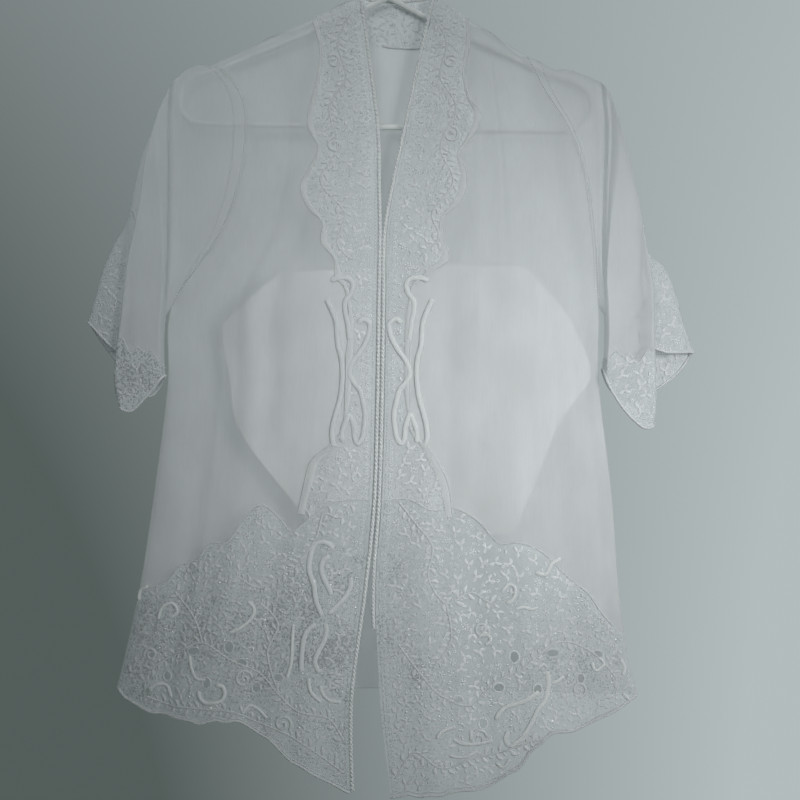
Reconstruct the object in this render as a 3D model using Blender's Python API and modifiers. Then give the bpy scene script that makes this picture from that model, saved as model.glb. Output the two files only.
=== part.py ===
"""A sheer kebaya blouse on a slim hanger: voile walls, embroidered borders, braid edging, tube hanger.

Tables are in millimetres, the model is in metres with +Z up. The hanger's hook meets its rail at the
origin, the fronts face -Y, and right and left are the wearer's, so the right half lies at -X.
"""
import math
from collections import namedtuple

import bmesh
import bpy
from mathutils import Vector

MM = 0.001

# Walls and gaps
VOILE = 1.2
EMBROIDERY = 1.0
SEAM_GAP = 1.0
LAYER_GAP = 0.8
SEAM_DEPTH = 0.8
MERGE = 0.00005

# Braid edging and raised cords
BRAID_RADIUS = 2.0
BRAID_CLEAR = 0.5
SCROLL_HALF_WIDTH = 2.4
SCROLL_HALF_HEIGHT = 1.1
SCROLL_SIDES = 8
SCROLL_STEP = 5.5

# Hanger
WIRE_RADIUS = 2.75
HANGER_CENTRE = 7.0
HANGER_TILT = math.radians(1.2)
HOOK_RADIUS = 20.75

# A level crosses one front from the braid at the opening to the armhole or the side seam.
# Depths are how far the wall stands in front of the hanger: at the opening, added at mid-panel, at the side.
Level = namedtuple("Level", "edge_x edge_z side_x side_z edge_depth belly side_depth back_depth")

RIGHT_LEVELS = (
    Level(-22.0, -85, -168, -152, 6.5, 0.0, 6.5, 6.5),
    Level(-20.0, -97, -156, -160, 7.5, 0.5, 7.0, 7.0),
    Level(-15.0, -133, -140, -180, 9.0, 2.0, 9.5, 8.5),
    Level(-5.0, -212, -134, -212, 11.5, 5.0, 11.5, 10.0),
    Level(-3.4, -273, -140, -263, 13.0, 8.0, 11.5, 11.0),
    Level(-2.7, -317, -160, -317, 14.5, 9.0, 9.0, 12.0),
    Level(-3.6, -381, -206, -387, 17.0, 8.0, SEAM_DEPTH, 12.5),
    Level(-5.0, -479, -210, -464, 19.0, 3.0, SEAM_DEPTH, 12.0),
    Level(-8.0, -577, -223, -567, 20.0, 0.0, SEAM_DEPTH, 11.0),
    Level(-17.0, -665, -237, -660, 22.0, 0.0, SEAM_DEPTH, 12.0),
    Level(-30.0, -767, -252, -729, 25.0, 1.0, SEAM_DEPTH, 14.0),
    Level(-29.0, -856, -260, -761, 28.0, 2.0, SEAM_DEPTH, 15.0),
)
LEFT_LEVELS = (
    Level(49.0, -85, 141, -143, 6.5, 0.0, 6.5, 6.5),
    Level(47.0, -97, 146, -153, 7.5, 0.5, 7.0, 7.0),
    Level(37.0, -141, 159, -179, 9.0, 2.0, 9.5, 8.5),
    Level(22.0, -212, 181, -214, 11.5, 5.0, 11.5, 10.0),
    Level(11.0, -263, 196, -254, 13.0, 8.0, 11.5, 11.0),
    Level(1.9, -317, 206, -317, 14.5, 9.0, 9.0, 12.0),
    Level(0.9, -381, 211, -387, 17.0, 8.0, SEAM_DEPTH, 12.5),
    Level(-0.5, -479, 211, -464, 19.0, 3.0, SEAM_DEPTH, 12.0),
    Level(-3.4, -577, 223, -567, 20.0, 0.0, SEAM_DEPTH, 11.0),
    Level(-9.0, -665, 230, -660, 22.0, 0.0, SEAM_DEPTH, 12.0),
    Level(-5.0, -767, 239, -729, 25.0, 1.0, SEAM_DEPTH, 14.0),
    Level(5.0, -861, 249, -768, 28.0, 2.0, SEAM_DEPTH, 15.0),
)
LEVELS = {"right": RIGHT_LEVELS, "left": LEFT_LEVELS}
SIGN = {"right": -1, "left": 1}
HEM_LEVEL = 11.0
UNDERARM_LEVEL = 6.0

# How far each front's pointed hem leaves the straight line between its corners: share across, drop.
HEM_CURVE = {
    "right": ((0.0, 0), (0.12, 3), (0.23, 7), (0.36, 20), (0.46, 24), (0.55, 16), (0.65, 4),
              (0.77, -1), (0.86, -7), (0.96, -5), (1.0, 0)),
    "left": ((0.0, 0), (0.06, -2), (0.13, -10), (0.22, -16), (0.38, -25), (0.50, -20), (0.58, -5),
             (0.64, 1), (0.74, -6), (0.89, -5), (1.0, 0)),
}
HEM_FADE_LEVELS = 2.2

# The back's upper edge: share across from the right shoulder point to the left one, rise above the line.
NECK_RISE = ((0.0, 0.0), (0.235, 31.0), (0.472, 63.5), (0.52, 59.0), (0.585, 57.0), (0.65, 58.5),
             (0.702, 60.5), (0.85, 30.0), (1.0, 0.0))
NECK_FROM = 0.472
NECK_TO = 0.702
NECK_FADE_LEVELS = 6.0
NECK_CORNER = 0.012
FACING_LEVEL = 1.6

# Creases down one wall: share across, levels between which it runs, half width, depth inwards.
Crease = namedtuple("Crease", "wall share top foot width depth")
CREASES = (
    Crease("right", 0.50, 3.0, 8.2, 0.06, 3.5),
    Crease("right", 0.60, 4.2, 10.6, 0.06, -3.5),
    Crease("right", 0.80, 6.0, 13.0, 0.06, 4.5),
    Crease("right", 0.40, 7.4, 13.0, 0.06, 4.0),
    Crease("right", 0.18, 7.0, 13.0, 0.06, -3.5),
    Crease("left", 0.50, 1.2, 7.0, 0.06, 4.0),
    Crease("left", 0.60, 6.6, 12.6, 0.06, -4.0),
    Crease("left", 0.29, 4.6, 9.4, 0.06, 3.0),
    Crease("left", 0.80, 6.0, 13.0, 0.06, 4.5),
    Crease("left", 0.40, 7.2, 13.0, 0.06, 4.0),
    Crease("left", 0.18, 7.0, 13.0, 0.06, -3.5),
    Crease("back", 0.15, 5.0, 11.0, 0.05, 4.0),
    Crease("back", 0.34, 3.6, 12.0, 0.055, -4.5),
    Crease("back", 0.585, 3.8, 12.0, 0.045, -4.0),
    Crease("back", 0.76, 4.8, 13.0, 0.05, 4.5),
)
CREASE_FADE = 1.6

# A sleeve's lines in x and z: under the arm and along the outer fold, each down to the dip that hangs
# from the hanger's end and then on to the hem, that dip from the arm up, the flare behind the fold,
# and the two hems. Its tuck turns in behind the fold and its hem rises there.
Sleeve = namedtuple("Sleeve", "cap_under under cap_edge edge flare dip front_hem back_hem tuck tuck_rise")
SLEEVES = {
    "right": Sleeve(
        cap_under=((-206, -387), (-213.5, -397)),
        under=((-213.5, -397), (-215, -425), (-213.5, -455)),
        cap_edge=((-168, -152), (-181, -151), (-194, -157), (-206, -169)),
        edge=((-206, -169), (-216, -190), (-223, -212), (-232, -245), (-237, -283), (-243, -312),
              (-250, -345), (-256, -395), (-262, -440), (-262, -467), (-257, -486)),
        flare=((-206, -169), (-216, -190), (-224, -211), (-236, -238), (-244, -273), (-251, -304),
               (-263, -324), (-274, -348), (-281, -372), (-290, -402)),
        dip=((-213.5, -397), (-210, -330), (-209, -260), (-209, -205), (-206, -169)),
        front_hem=((-213.5, -455), (-233, -479), (-246, -490), (-257, -486)),
        back_hem=((-213.5, -455), (-228, -474), (-244, -470), (-262, -443), (-279, -420), (-290, -402)),
        tuck=9.0, tuck_rise=40.0),
    "left": Sleeve(
        cap_under=((211, -387), (217.5, -397)),
        under=((217.5, -397), (217.5, -425), (215, -449)),
        cap_edge=((141, -143), (153, -147), (167, -156), (179, -155), (194, -160), (213, -168)),
        edge=((213, -168), (223, -181), (233, -214), (241, -244), (249, -278), (255, -312), (261, -344),
              (265, -381), (266, -427), (267, -479), (265, -503)),
        flare=((213, -168), (223, -181), (234, -214), (242, -244), (250, -278), (256, -312), (262, -336),
               (276, -348), (287, -373), (295, -403), (305, -432)),
        dip=((217.5, -397), (215, -335), (216, -270), (217, -210), (213, -168)),
        front_hem=((215, -449), (220, -465), (236, -490), (254, -506), (265, -503)),
        back_hem=((215, -449), (226, -470), (246, -481), (270, -468), (291, -452), (305, -432)),
        tuck=9.0, tuck_rise=70.0),
}
SLEEVE_HEM_DEPTH = 11.0
DIP_DEPTH = 6.0
DIP_BACK_DEPTH = 9.0
FLARE_FROM = 0.38
FLARE_FULL = 0.80
CUFF_FROM = 0.80

# Share of each front that the embroidered neck border covers, by level.
NECK_BORDER = {
    "right": ((0.0, 0.30), (1.0, 0.34), (2.0, 0.41), (3.0, 0.51), (3.7, 0.55), (4.5, 0.46), (5.0, 0.37),
              (5.5, 0.25), (6.0, 0.17), (7.0, 0.16), (7.6, 0.30), (7.9, 0.33)),
    "left": ((0.0, 0.33), (1.0, 0.35), (2.0, 0.38), (3.0, 0.44), (3.5, 0.40), (4.2, 0.37), (5.0, 0.28),
             (5.4, 0.29), (6.0, 0.19), (7.0, 0.18), (7.6, 0.24), (7.9, 0.28)),
}
# Level at which the embroidered hem border begins, by share across the front.
HEM_BORDER = {
    "right": ((0.0, 7.95), (0.27, 8.05), (0.36, 8.35), (0.48, 8.1), (0.66, 8.5), (0.82, 8.75), (1.0, 9.1)),
    "left": ((0.0, 7.95), (0.30, 8.1), (0.42, 8.25), (0.55, 8.55), (0.66, 8.75), (0.80, 9.0), (1.0, 9.55)),
}
BORDER_SIDE = 0.975
EDGE_INSET = 0.1
SEARCH_STEPS = 200

# Inner bust lining, seen through the voile: share of the front that it covers, by level.
LINING = {
    "right": ((5.45, 0.50), (5.75, 0.72), (6.05, 0.83), (6.5, 0.75), (7.0, 0.66), (7.45, 0.58), (7.9, 0.46),
              (8.3, 0.25)),
    "left": ((5.35, 0.62), (5.8, 0.82), (6.3, 0.93), (6.75, 0.93), (7.15, 0.80), (7.5, 0.70), (7.9, 0.60),
             (8.4, 0.40)),
}

# Cutwork holes through border and front: share across, level, width and height.
Hole = namedtuple("Hole", "share level width height")
CUTWORK = (
    Hole(0.88, 9.85, 9.0, 6.0),
    Hole(0.80, 10.15, 6.0, 8.0),
    Hole(0.70, 9.75, 11.0, 6.5),
    Hole(0.62, 10.2, 7.0, 9.0),
    Hole(0.545, 9.7, 7.5, 10.0),
    Hole(0.475, 9.95, 9.0, 7.0),
    Hole(0.40, 10.25, 7.0, 9.0),
    Hole(0.31, 10.0, 8.0, 6.0),
)
HOLE_SIDES = 10

# Raised ribbon scrolls beside the opening of the left front, as x and z; the right front mirrors them.
FRONT_SCROLLS = {
    "outer": ((48, -382), (43, -393), (39, -404), (38, -415), (37, -427), (34, -438), (33, -449),
              (33, -459), (34, -470), (36, -481), (39, -491), (42, -503), (43, -514), (41, -524)),
    "inner": ((18, -405), (13, -401), (7, -405), (7, -413), (10, -422), (15, -431), (21, -439), (25, -447),
              (26, -455), (22, -462), (16, -470), (13, -481), (11, -493), (12, -506), (14, -516),
              (18, -521), (21, -516), (22, -505), (26, -494), (30, -500), (33, -510), (33, -520)),
    "loop": ((44, -364), (36, -361), (27, -362), (23, -368), (25, -376), (30, -384), (30, -394), (28, -404),
             (27, -412), (26, -421)),
}
SCROLL_MIRROR = -5.9
# The scrolls of the hem borders, as x and z.
HEM_SCROLLS = {
    "right_hem_long": ((-48, -622), (-53, -617), (-61, -616), (-67, -621), (-70, -631), (-71, -641),
                       (-69, -650), (-66, -658), (-65, -668), (-62, -678), (-58, -687)),
    "right_hem_curl": ((-51, -629), (-57, -633), (-59, -641), (-57, -650), (-53, -658), (-49, -667)),
    "right_hem_branch": ((-31, -650), (-31, -658), (-35, -667), (-41, -674), (-47, -680), (-52, -685)),
    "right_hem_stem": ((-64, -694), (-71, -699), (-75, -706), (-77, -717), (-78, -729), (-78, -740)),
    "right_hem_tail": ((-55, -694), (-54, -702), (-57, -712), (-62, -721), (-65, -731), (-61, -741)),
    "left_hem_long": ((159, -741), (160, -750), (159, -760), (156, -769), (150, -776), (146, -784),
                      (141, -793), (136, -801), (129, -808), (122, -811), (118, -805), (121, -798)),
    "left_hem_branch": ((151, -760), (144, -764), (136, -769), (126, -772), (118, -775), (112, -781),
                        (109, -787)),
}

# Hanger arm and shoulder: distance from the middle, height.
HANGER_ARM = ((0, -85), (29, -99), (59, -113), (98, -130.2), (137, -146.4), (160, -157.2), (178, -162.5),
              (191, -168), (199, -176), (202, -187), (200, -199), (192, -208), (180, -211.5), (90, -211.5))
HOOK_STEM = ((8.5, -81.9), (8.5, -62), (12, -47), (18.5, -33))
HOOK_TIP = ((-19.5, -30), (-15.5, -38))

# Mesh density
FRONT_SHARES = (0.0, 0.08, 0.18, 0.29, 0.40, 0.50, 0.60, 0.70, 0.80, 0.88, 0.95, 1.0)
NECK_SHARES = (0.485, 0.51, 0.545, 0.585, 0.625, 0.66, 0.689)
BACK_SHARES = (0.0, 0.06, 0.15, 0.25, 0.34, 0.42, NECK_FROM, *NECK_SHARES, NECK_TO, 0.76, 0.85, 0.94, 1.0)
PANEL_LEVELS = (0.0, 0.12, 0.4, 1.0, 1.7, 2.4, 3.1, 3.8, 4.5, 5.2, 5.7, 6.0, 6.6, 7.2, 7.8, 8.4, 9.0, 9.6,
                10.2, 10.6, HEM_LEVEL)
SLEEVE_SHARES = [1.0 - level / UNDERARM_LEVEL for level in reversed(PANEL_LEVELS) if level <= UNDERARM_LEVEL]
CAP_STEPS = (0.0, 0.4, 0.8)
ARM_STEPS = (0.0, 0.07, 0.2, 0.32, 0.44, 0.56, 0.68, 0.80, 0.90, 1.0)
TUCK_STEPS = 6
PLACE_STEPS = 12

COLOURS = {
    "voile": ((0.60, 0.64, 0.64, 1.0), 0.75, 0.0),
    "embroidery": ((0.66, 0.69, 0.69, 1.0), 0.65, 0.0),
    "braid": ((0.74, 0.77, 0.76, 1.0), 0.45, 0.0),
    "lining": ((0.72, 0.76, 0.76, 1.0), 0.8, 0.0),
    "hanger": ((0.80, 0.82, 0.80, 1.0), 0.3, 0.0),
}


def clamp(value, low=0.0, high=1.0):
    return max(low, min(high, value))


def smooth(value):
    value = clamp(value)
    return value * value * (3.0 - 2.0 * value)


def through(rows, place):
    """The row at a fractional place in a table, on a smooth curve through its neighbours."""
    last = len(rows) - 1
    place = clamp(place, 0.0, float(last))
    start = min(int(place), last - 1)
    t = place - start
    before, here = rows[max(start - 1, 0)], rows[start]
    there, after = rows[start + 1], rows[min(start + 2, last)]
    return [
        0.5 * (2 * b + (c - a) * t + (2 * a - 5 * b + 4 * c - d) * t * t + (3 * b - a - 3 * c + d) * t ** 3)
        for a, b, c, d in zip(before, here, there, after)
    ]


def lookup(table, key):
    """The second column of a table, read between its rows."""
    for (low, first), (high, second) in zip(table, table[1:]):
        if key <= high:
            return first + (second - first) * smooth((key - low) / (high - low))
    return table[-1][1]


def along(points, share):
    """A point at a share of the length of a smooth line through the points."""
    lengths = [math.dist(a, b) for a, b in zip(points, points[1:])]
    left = clamp(share) * sum(lengths)
    for index, length in enumerate(lengths):
        if left <= length or index == len(lengths) - 1:
            return through(points, index + min(left / length, 1.0))
        left -= length


def crease_depth(wall, share, level):
    """How far the creases push a panel's wall inwards."""
    total = 0.0
    for crease in CREASES:
        if crease.wall == wall:
            ends = smooth((level - crease.top) / CREASE_FADE) * smooth((crease.foot - level) / CREASE_FADE)
            total += crease.depth * ends * math.exp(-(((share - crease.share) / crease.width) ** 2))
    return total


def swell(share):
    """The rounding of a panel from the middle, 1, to the side seam, 0."""
    return (1.0 - clamp(share) ** 2.2) ** 0.75


def front_point(side, share, level):
    row = Level(*through(LEVELS[side], level))
    edge_x = row.edge_x + SIGN[side] * (BRAID_RADIUS + BRAID_CLEAR)
    x = edge_x + (row.side_x - edge_x) * share
    fade = smooth(1.0 - (HEM_LEVEL - level) / HEM_FADE_LEVELS)
    z = row.edge_z + (row.side_z - row.edge_z) * share + lookup(HEM_CURVE[side], share) * fade
    depth = row.side_depth + (row.edge_depth - row.side_depth) * swell(share)
    depth += row.belly * math.sin(math.pi * share)
    depth -= crease_depth(side, share, level)
    depth = SEAM_DEPTH + max(depth - SEAM_DEPTH, 0.0) * math.sqrt(clamp(level))
    return Vector((x, -depth, z))


def back_point(share, level):
    right = Level(*through(RIGHT_LEVELS, level))
    left = Level(*through(LEFT_LEVELS, level))
    x = right.side_x + (left.side_x - right.side_x) * share
    fade = (1.0 - clamp(level / NECK_FADE_LEVELS)) ** 1.5
    z = right.side_z + (left.side_z - right.side_z) * share + lookup(NECK_RISE, share) * fade
    side_depth = right.side_depth + (left.side_depth - right.side_depth) * share
    depth = side_depth + (right.back_depth - side_depth) * swell(abs(2.0 * share - 1.0))
    depth -= crease_depth("back", share, level)
    at_neck = smooth((share - NECK_FROM) / NECK_CORNER) * smooth((NECK_TO - share) / NECK_CORNER)
    depth = SEAM_DEPTH + max(depth - SEAM_DEPTH, 0.0) * max(math.sqrt(clamp(level)), at_neck)
    return Vector((x, depth, z))


def armhole_point(side, layer, share):
    """The armhole seam from the underarm, 0, to the shoulder point, 1."""
    level = UNDERARM_LEVEL * (1.0 - share)
    if layer == "front":
        return front_point(side, 1.0, level)
    return back_point(0.0 if side == "right" else 1.0, level)


def flat(point, depth):
    return Vector((point[0], depth, point[1]))


def patch(share, step, top, foot, inner, outer):
    """A point of the surface between four lines, given as functions of share or of step."""
    point = top(share) * (1 - step) + foot(share) * step + inner(step) * (1 - share) + outer(step) * share
    point -= (top(0.0) * (1 - share) + top(1.0) * share) * (1 - step)
    point -= (foot(0.0) * (1 - share) + foot(1.0) * share) * step
    return point


def rounded(share):
    """The rounding of a flattened tube, 0 at its two folds."""
    return math.sqrt(clamp(20.0 * (1.0 - share)) * clamp(8.0 * share))


def sleeve_layer(side, layer, share, band, step):
    """One layer of a sleeve. The cap band runs from the armhole to the dip, the arm band on to the hem."""
    sleeve = SLEEVES[side]
    front = layer == "front"
    way = -1.0 if front else 1.0
    dip_depth = DIP_DEPTH if front else DIP_BACK_DEPTH

    def armhole(at):
        return armhole_point(side, layer, at)

    def dip(at):
        low, high = armhole(0.0).z, armhole(1.0).z
        height = (armhole(at).z - low) / (high - low)
        return flat(along(sleeve.dip, height), way * (SEAM_DEPTH + (dip_depth - SEAM_DEPTH) * rounded(at)))

    def hem(at):
        line = sleeve.front_hem if front else sleeve.back_hem
        return flat(along(line, at), way * (SEAM_DEPTH + (SLEEVE_HEM_DEPTH - SEAM_DEPTH) * rounded(at)))

    def edge_line(line):
        return lambda at: flat(along(line, at), way * SEAM_DEPTH)

    if band == "cap":
        return patch(share, step, armhole, dip, edge_line(sleeve.cap_under), edge_line(sleeve.cap_edge))
    outer = edge_line(sleeve.edge if front else sleeve.flare)
    point = patch(share, step, dip, hem, edge_line(sleeve.under), outer)
    full = SLEEVE_HEM_DEPTH * rounded(share) * smooth(step * 6.0) * (1.0 - step)
    point.y += way * full * (0.7 if front else 0.2)
    return point


def tuck_points(side, band, step):
    """The cloth between the outer fold and the flare: it turns in behind the fold and out again."""
    sleeve = SLEEVES[side]
    open_share = 0.0 if band == "cap" else smooth((step - FLARE_FROM) / (FLARE_FULL - FLARE_FROM))
    fold = sleeve_layer(side, "front", 1.0, band, step)
    flare = sleeve_layer(side, "back", 1.0, band, step)
    fold.y -= 3.0 * open_share
    flare.y += 2.0 * open_share
    rise = sleeve.tuck_rise * open_share * clamp((step - FLARE_FROM) / (1.0 - FLARE_FROM)) ** 2
    tuck = fold + Vector((-SIGN[side] * sleeve.tuck * open_share, 3.4 * open_share + 0.5, rise))
    middle = (tuck + flare) / 2.0
    middle.y = fold.y + 1.1 + 2.2 * open_share
    line = [tuple(fold), tuple(tuck), tuple(middle), tuple(flare)]
    return [Vector(through(line, 3.0 * i / TUCK_STEPS)) for i in range(TUCK_STEPS + 1)]


def sleeve_ring(side, band, step):
    """One closed ring of a sleeve: front layer, tuck and back layer."""
    shares = SLEEVE_SHARES[:-1]
    front = [sleeve_layer(side, "front", share, band, step) for share in shares]
    back = [sleeve_layer(side, "back", share, band, step) for share in reversed(shares)]
    return front + tuck_points(side, band, step) + back


Surface = namedtuple("Surface", "points normals")


def grid_mesh(points, closed):
    """An open work mesh through rows of points in mm, with its normals pointing the same way."""
    work = bmesh.new()
    grid = [[work.verts.new(point * MM) for point in row] for row in points]
    for upper, lower in zip(grid, grid[1:]):
        count = len(upper)
        for i in range(count if closed else count - 1):
            j = (i + 1) % count
            work.faces.new((upper[i], upper[j], lower[j]))
            work.faces.new((upper[i], lower[j], lower[i]))
    bmesh.ops.recalc_face_normals(work, faces=work.faces)
    return work, grid


def surface_of(points, closed=False):
    """A grid of points with its normals, which point away from the middle of the garment."""
    work, grid = grid_mesh(points, closed)
    work.normal_update()
    normals = [[vert.normal.copy() for vert in row] for row in grid]
    work.free()
    outward = sum(p.y * n.y for row, line in zip(points, normals) for p, n in zip(row, line))
    if outward < 0:
        normals = [[-normal for normal in line] for line in normals]
    return Surface(points, normals)


def on_surface(surface, row, column, height):
    """A place on a surface at fractional row and column, moved out along the normal."""
    r = min(int(row), len(surface.points) - 2)
    c = min(int(column), len(surface.points[0]) - 2)
    t, u = row - r, column - c

    def blend(grid):
        upper = grid[r][c] * (1 - u) + grid[r][c + 1] * u
        lower = grid[r + 1][c] * (1 - u) + grid[r + 1][c + 1] * u
        return upper * (1 - t) + lower * t

    return blend(surface.points) + blend(surface.normals) * height


def value_at(values, index):
    """The value at a fractional index of a list."""
    start = min(int(index), len(values) - 2)
    return values[start] + (values[start + 1] - values[start]) * (index - start)


def index_of(values, value):
    """The fractional index of a value in a rising list."""
    for i, (low, high) in enumerate(zip(values, values[1:])):
        if value <= high:
            return i + max(value - low, 0.0) / (high - low)
    return len(values) - 1.0


def new_material(name):
    colour, roughness, metallic = COLOURS[name]
    material = bpy.data.materials.new(name)
    material.use_nodes = True
    shader = material.node_tree.nodes["Principled BSDF"]
    shader.inputs["Base Color"].default_value = colour
    shader.inputs["Roughness"].default_value = roughness
    shader.inputs["Metallic"].default_value = metallic
    material.diffuse_color = colour
    return material


def new_object(name, mesh, finish):
    if name in bpy.data.objects:
        raise ValueError(f"two objects are called {name}")
    mesh.materials.append(new_material(finish))
    made = bpy.data.objects.new(name, mesh)
    PARTS.objects.link(made)
    return made


def sheet(name, rows, finish, thickness, closed=False):
    """A wall through rows of points in mm, rings where closed, thickened evenly to both sides."""
    mesh = bpy.data.meshes.new(name)
    work = grid_mesh(rows, closed)[0]
    bmesh.ops.remove_doubles(work, verts=work.verts, dist=MERGE)
    work.to_mesh(mesh)
    work.free()
    mesh.shade_smooth()
    made = new_object(name, mesh, finish)
    wall = made.modifiers.new("wall", "SOLIDIFY")
    wall.thickness = thickness * MM
    wall.offset = 0.0
    wall.use_even_offset = False
    return made


def tube(name, points, radius, finish, resolution=2, closed=False):
    """A round cord or wire through points in mm."""
    curve = bpy.data.curves.new(name, "CURVE")
    curve.dimensions = "3D"
    curve.bevel_depth = radius * MM
    curve.bevel_resolution = resolution
    curve.use_fill_caps = not closed
    line = curve.splines.new("POLY")
    line.points.add(len(points) - 1)
    for target, point in zip(line.points, points):
        target.co = (*(point * MM), 1.0)
    line.use_cyclic_u = closed
    return new_object(name, curve, finish)


def layer_height(*below):
    """How far out a layer's middle lies, over the walls and layers below it."""
    return VOILE / 2 + sum(thickness + LAYER_GAP for thickness in below[:-1]) + LAYER_GAP + below[-1] / 2


def front_surface(side):
    return surface_of([[front_point(side, share, level) for share in FRONT_SHARES] for level in PANEL_LEVELS])


def build_back():
    surface = surface_of([[back_point(share, level) for share in BACK_SHARES] for level in PANEL_LEVELS])
    sheet("back", surface.points, "voile", VOILE)
    first = BACK_SHARES.index(NECK_SHARES[0])
    rows = (1, 2, 3, index_of(PANEL_LEVELS, FACING_LEVEL))
    height = -layer_height(EMBROIDERY)
    band = [[on_surface(surface, row, first + i, height) for i in range(len(NECK_SHARES))] for row in rows]
    sheet("neck_facing_back", band, "embroidery", EMBROIDERY)


def build_sleeve(side):
    rings = [sleeve_ring(side, "cap", step) for step in CAP_STEPS]
    rings += [sleeve_ring(side, "arm", step) for step in ARM_STEPS]
    surface = surface_of(rings, closed=True)
    for point in surface.points[0]:
        point.x += SIGN[side] * SEAM_GAP
    sheet(f"sleeve_{side}", surface.points, "voile", VOILE, closed=True)
    shares = len(SLEEVE_SHARES) - 1
    first_row = len(CAP_STEPS) + index_of(ARM_STEPS, CUFF_FROM)
    rows = (first_row, first_row + 1, len(rings) - 1)
    height = layer_height(EMBROIDERY)
    front = [[on_surface(surface, row, column, height) for column in range(1, shares - 1)] for row in rows]
    sheet(f"cuff_front_{side}", front, "embroidery", EMBROIDERY)
    turned = range(shares + 4, 2 * shares + TUCK_STEPS)
    back = [[on_surface(surface, row, column, height) for column in turned] for row in rows]
    sheet(f"cuff_back_{side}", back, "embroidery", EMBROIDERY)


def crossed(first, last, limit_at):
    """Places from first to last: the wall's own lines, and where the limit passes one of its cross lines."""
    places = {first, last} | {line for line in range(math.ceil(first), math.ceil(last))}
    for i in range(SEARCH_STEPS):
        here = first + (last - first) * i / SEARCH_STEPS
        there = first + (last - first) * (i + 1) / SEARCH_STEPS
        if int(limit_at(here)) != int(limit_at(there)):
            places.add((here + there) / 2)
    return sorted(places)


def build_band(name, surface, table, finish, height, first, last):
    """A layer from the front edge to the share that a table gives for each level."""
    def reach_at(row):
        return index_of(FRONT_SHARES, lookup(table, value_at(PANEL_LEVELS, row)))

    rows = crossed(index_of(PANEL_LEVELS, first), index_of(PANEL_LEVELS, last), reach_at)
    columns = [EDGE_INSET] + list(range(1, math.ceil(max(map(reach_at, rows))) + 1))
    grid = [[on_surface(surface, row, min(column, reach_at(row)), height) for column in columns] for row in rows]
    sheet(name, grid, finish, EMBROIDERY)


def build_hem_border(side, surface):
    """A layer from the level that a table gives for each share down to the hem."""
    def start_at(column):
        return index_of(PANEL_LEVELS, lookup(HEM_BORDER[side], value_at(FRONT_SHARES, column)))

    columns = crossed(EDGE_INSET, index_of(FRONT_SHARES, BORDER_SIDE), start_at)
    height = layer_height(EMBROIDERY)
    grid = [
        [on_surface(surface, max(row, start_at(column)), column, height) for column in columns]
        for row in range(math.floor(min(map(start_at, columns))), len(PANEL_LEVELS))
    ]
    return sheet(f"hem_border_{side}", grid, "embroidery", EMBROIDERY)


def build_braid(side, last_level):
    """The twisted braid along one front edge, beside the panel's own edge."""
    levels = [level for level in PANEL_LEVELS[1:] if level < last_level] + [last_level]
    points = []
    for level in levels:
        edge = front_point(side, 0.0, level)
        edge.x = through(LEVELS[side], level)[0]
        points.append(edge)
    tube(f"braid_{side}", points, BRAID_RADIUS, "braid")


def build_neck_braid():
    """The same braid along the back neck edge."""
    points = [back_point(share, 0.0) for share in NECK_SHARES]
    for point in points:
        point.z += BRAID_RADIUS + BRAID_CLEAR
    tube("braid_neck", points, BRAID_RADIUS, "braid")


def place_on_front(side, x, z):
    """The share and level at which a front passes x and z, found in a few steps."""
    share, level = 0.2, 7.0
    for _ in range(PLACE_STEPS):
        here = front_point(side, share, level)
        width = front_point(side, 1.0, level).x - front_point(side, 0.0, level).x
        drop = front_point(side, share, level + 0.1).z - front_point(side, share, level - 0.1).z
        share += (x - here.x) / width
        level += (z - here.z) / drop * 0.2
    return clamp(share), clamp(level, 0.0, HEM_LEVEL)


def ribbon(name, line, finish):
    """A flat oval cord through points in mm, its flat side to the front."""
    mesh = bpy.data.meshes.new(name)
    work = bmesh.new()
    rings = []
    for i, point in enumerate(line):
        along = line[min(i + 1, len(line) - 1)] - line[max(i - 1, 0)]
        across = along.cross(Vector((0.0, -1.0, 0.0))).normalized()
        out = across.cross(along).normalized()
        ring = []
        for k in range(SCROLL_SIDES):
            angle = 2.0 * math.pi * k / SCROLL_SIDES
            offset = across * (SCROLL_HALF_WIDTH * math.cos(angle)) + out * (SCROLL_HALF_HEIGHT * math.sin(angle))
            ring.append(work.verts.new((point + offset) * MM))
        rings.append(ring)
    for upper, lower in zip(rings, rings[1:]):
        for i in range(SCROLL_SIDES):
            j = (i + 1) % SCROLL_SIDES
            work.faces.new((upper[i], upper[j], lower[j]))
            work.faces.new((upper[i], lower[j], lower[i]))
    work.faces.new(rings[0])
    work.faces.new(rings[-1])
    bmesh.ops.recalc_face_normals(work, faces=work.faces)
    work.to_mesh(mesh)
    work.free()
    mesh.shade_smooth()
    return new_object(name, mesh, finish)


def build_scroll(name, side, surface, outline):
    """One raised ribbon, laid over the border's height on a front."""
    height = layer_height(EMBROIDERY, 2.0 * SCROLL_HALF_HEIGHT)
    line = []
    for index, (here, there) in enumerate(zip(outline, outline[1:])):
        count = max(1, round(math.dist(here, there) / SCROLL_STEP))
        line += [through(outline, index + i / count) for i in range(count)]
    line.append(outline[-1])
    points = []
    for x, z in line:
        share, level = place_on_front(side, x, z)
        row, column = index_of(PANEL_LEVELS, level), index_of(FRONT_SHARES, share)
        points.append(on_surface(surface, row, column, height))
    ribbon(f"scroll_{name}", points, "braid")


def build_scrolls(side, surface):
    for name, outline in FRONT_SCROLLS.items():
        if side == "right":
            outline = [(SCROLL_MIRROR - x, z) for x, z in outline]
        build_scroll(f"{side}_{name}", side, surface, outline)
    for name, outline in HEM_SCROLLS.items():
        if name.startswith(side):
            build_scroll(name, side, surface, outline)


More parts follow.
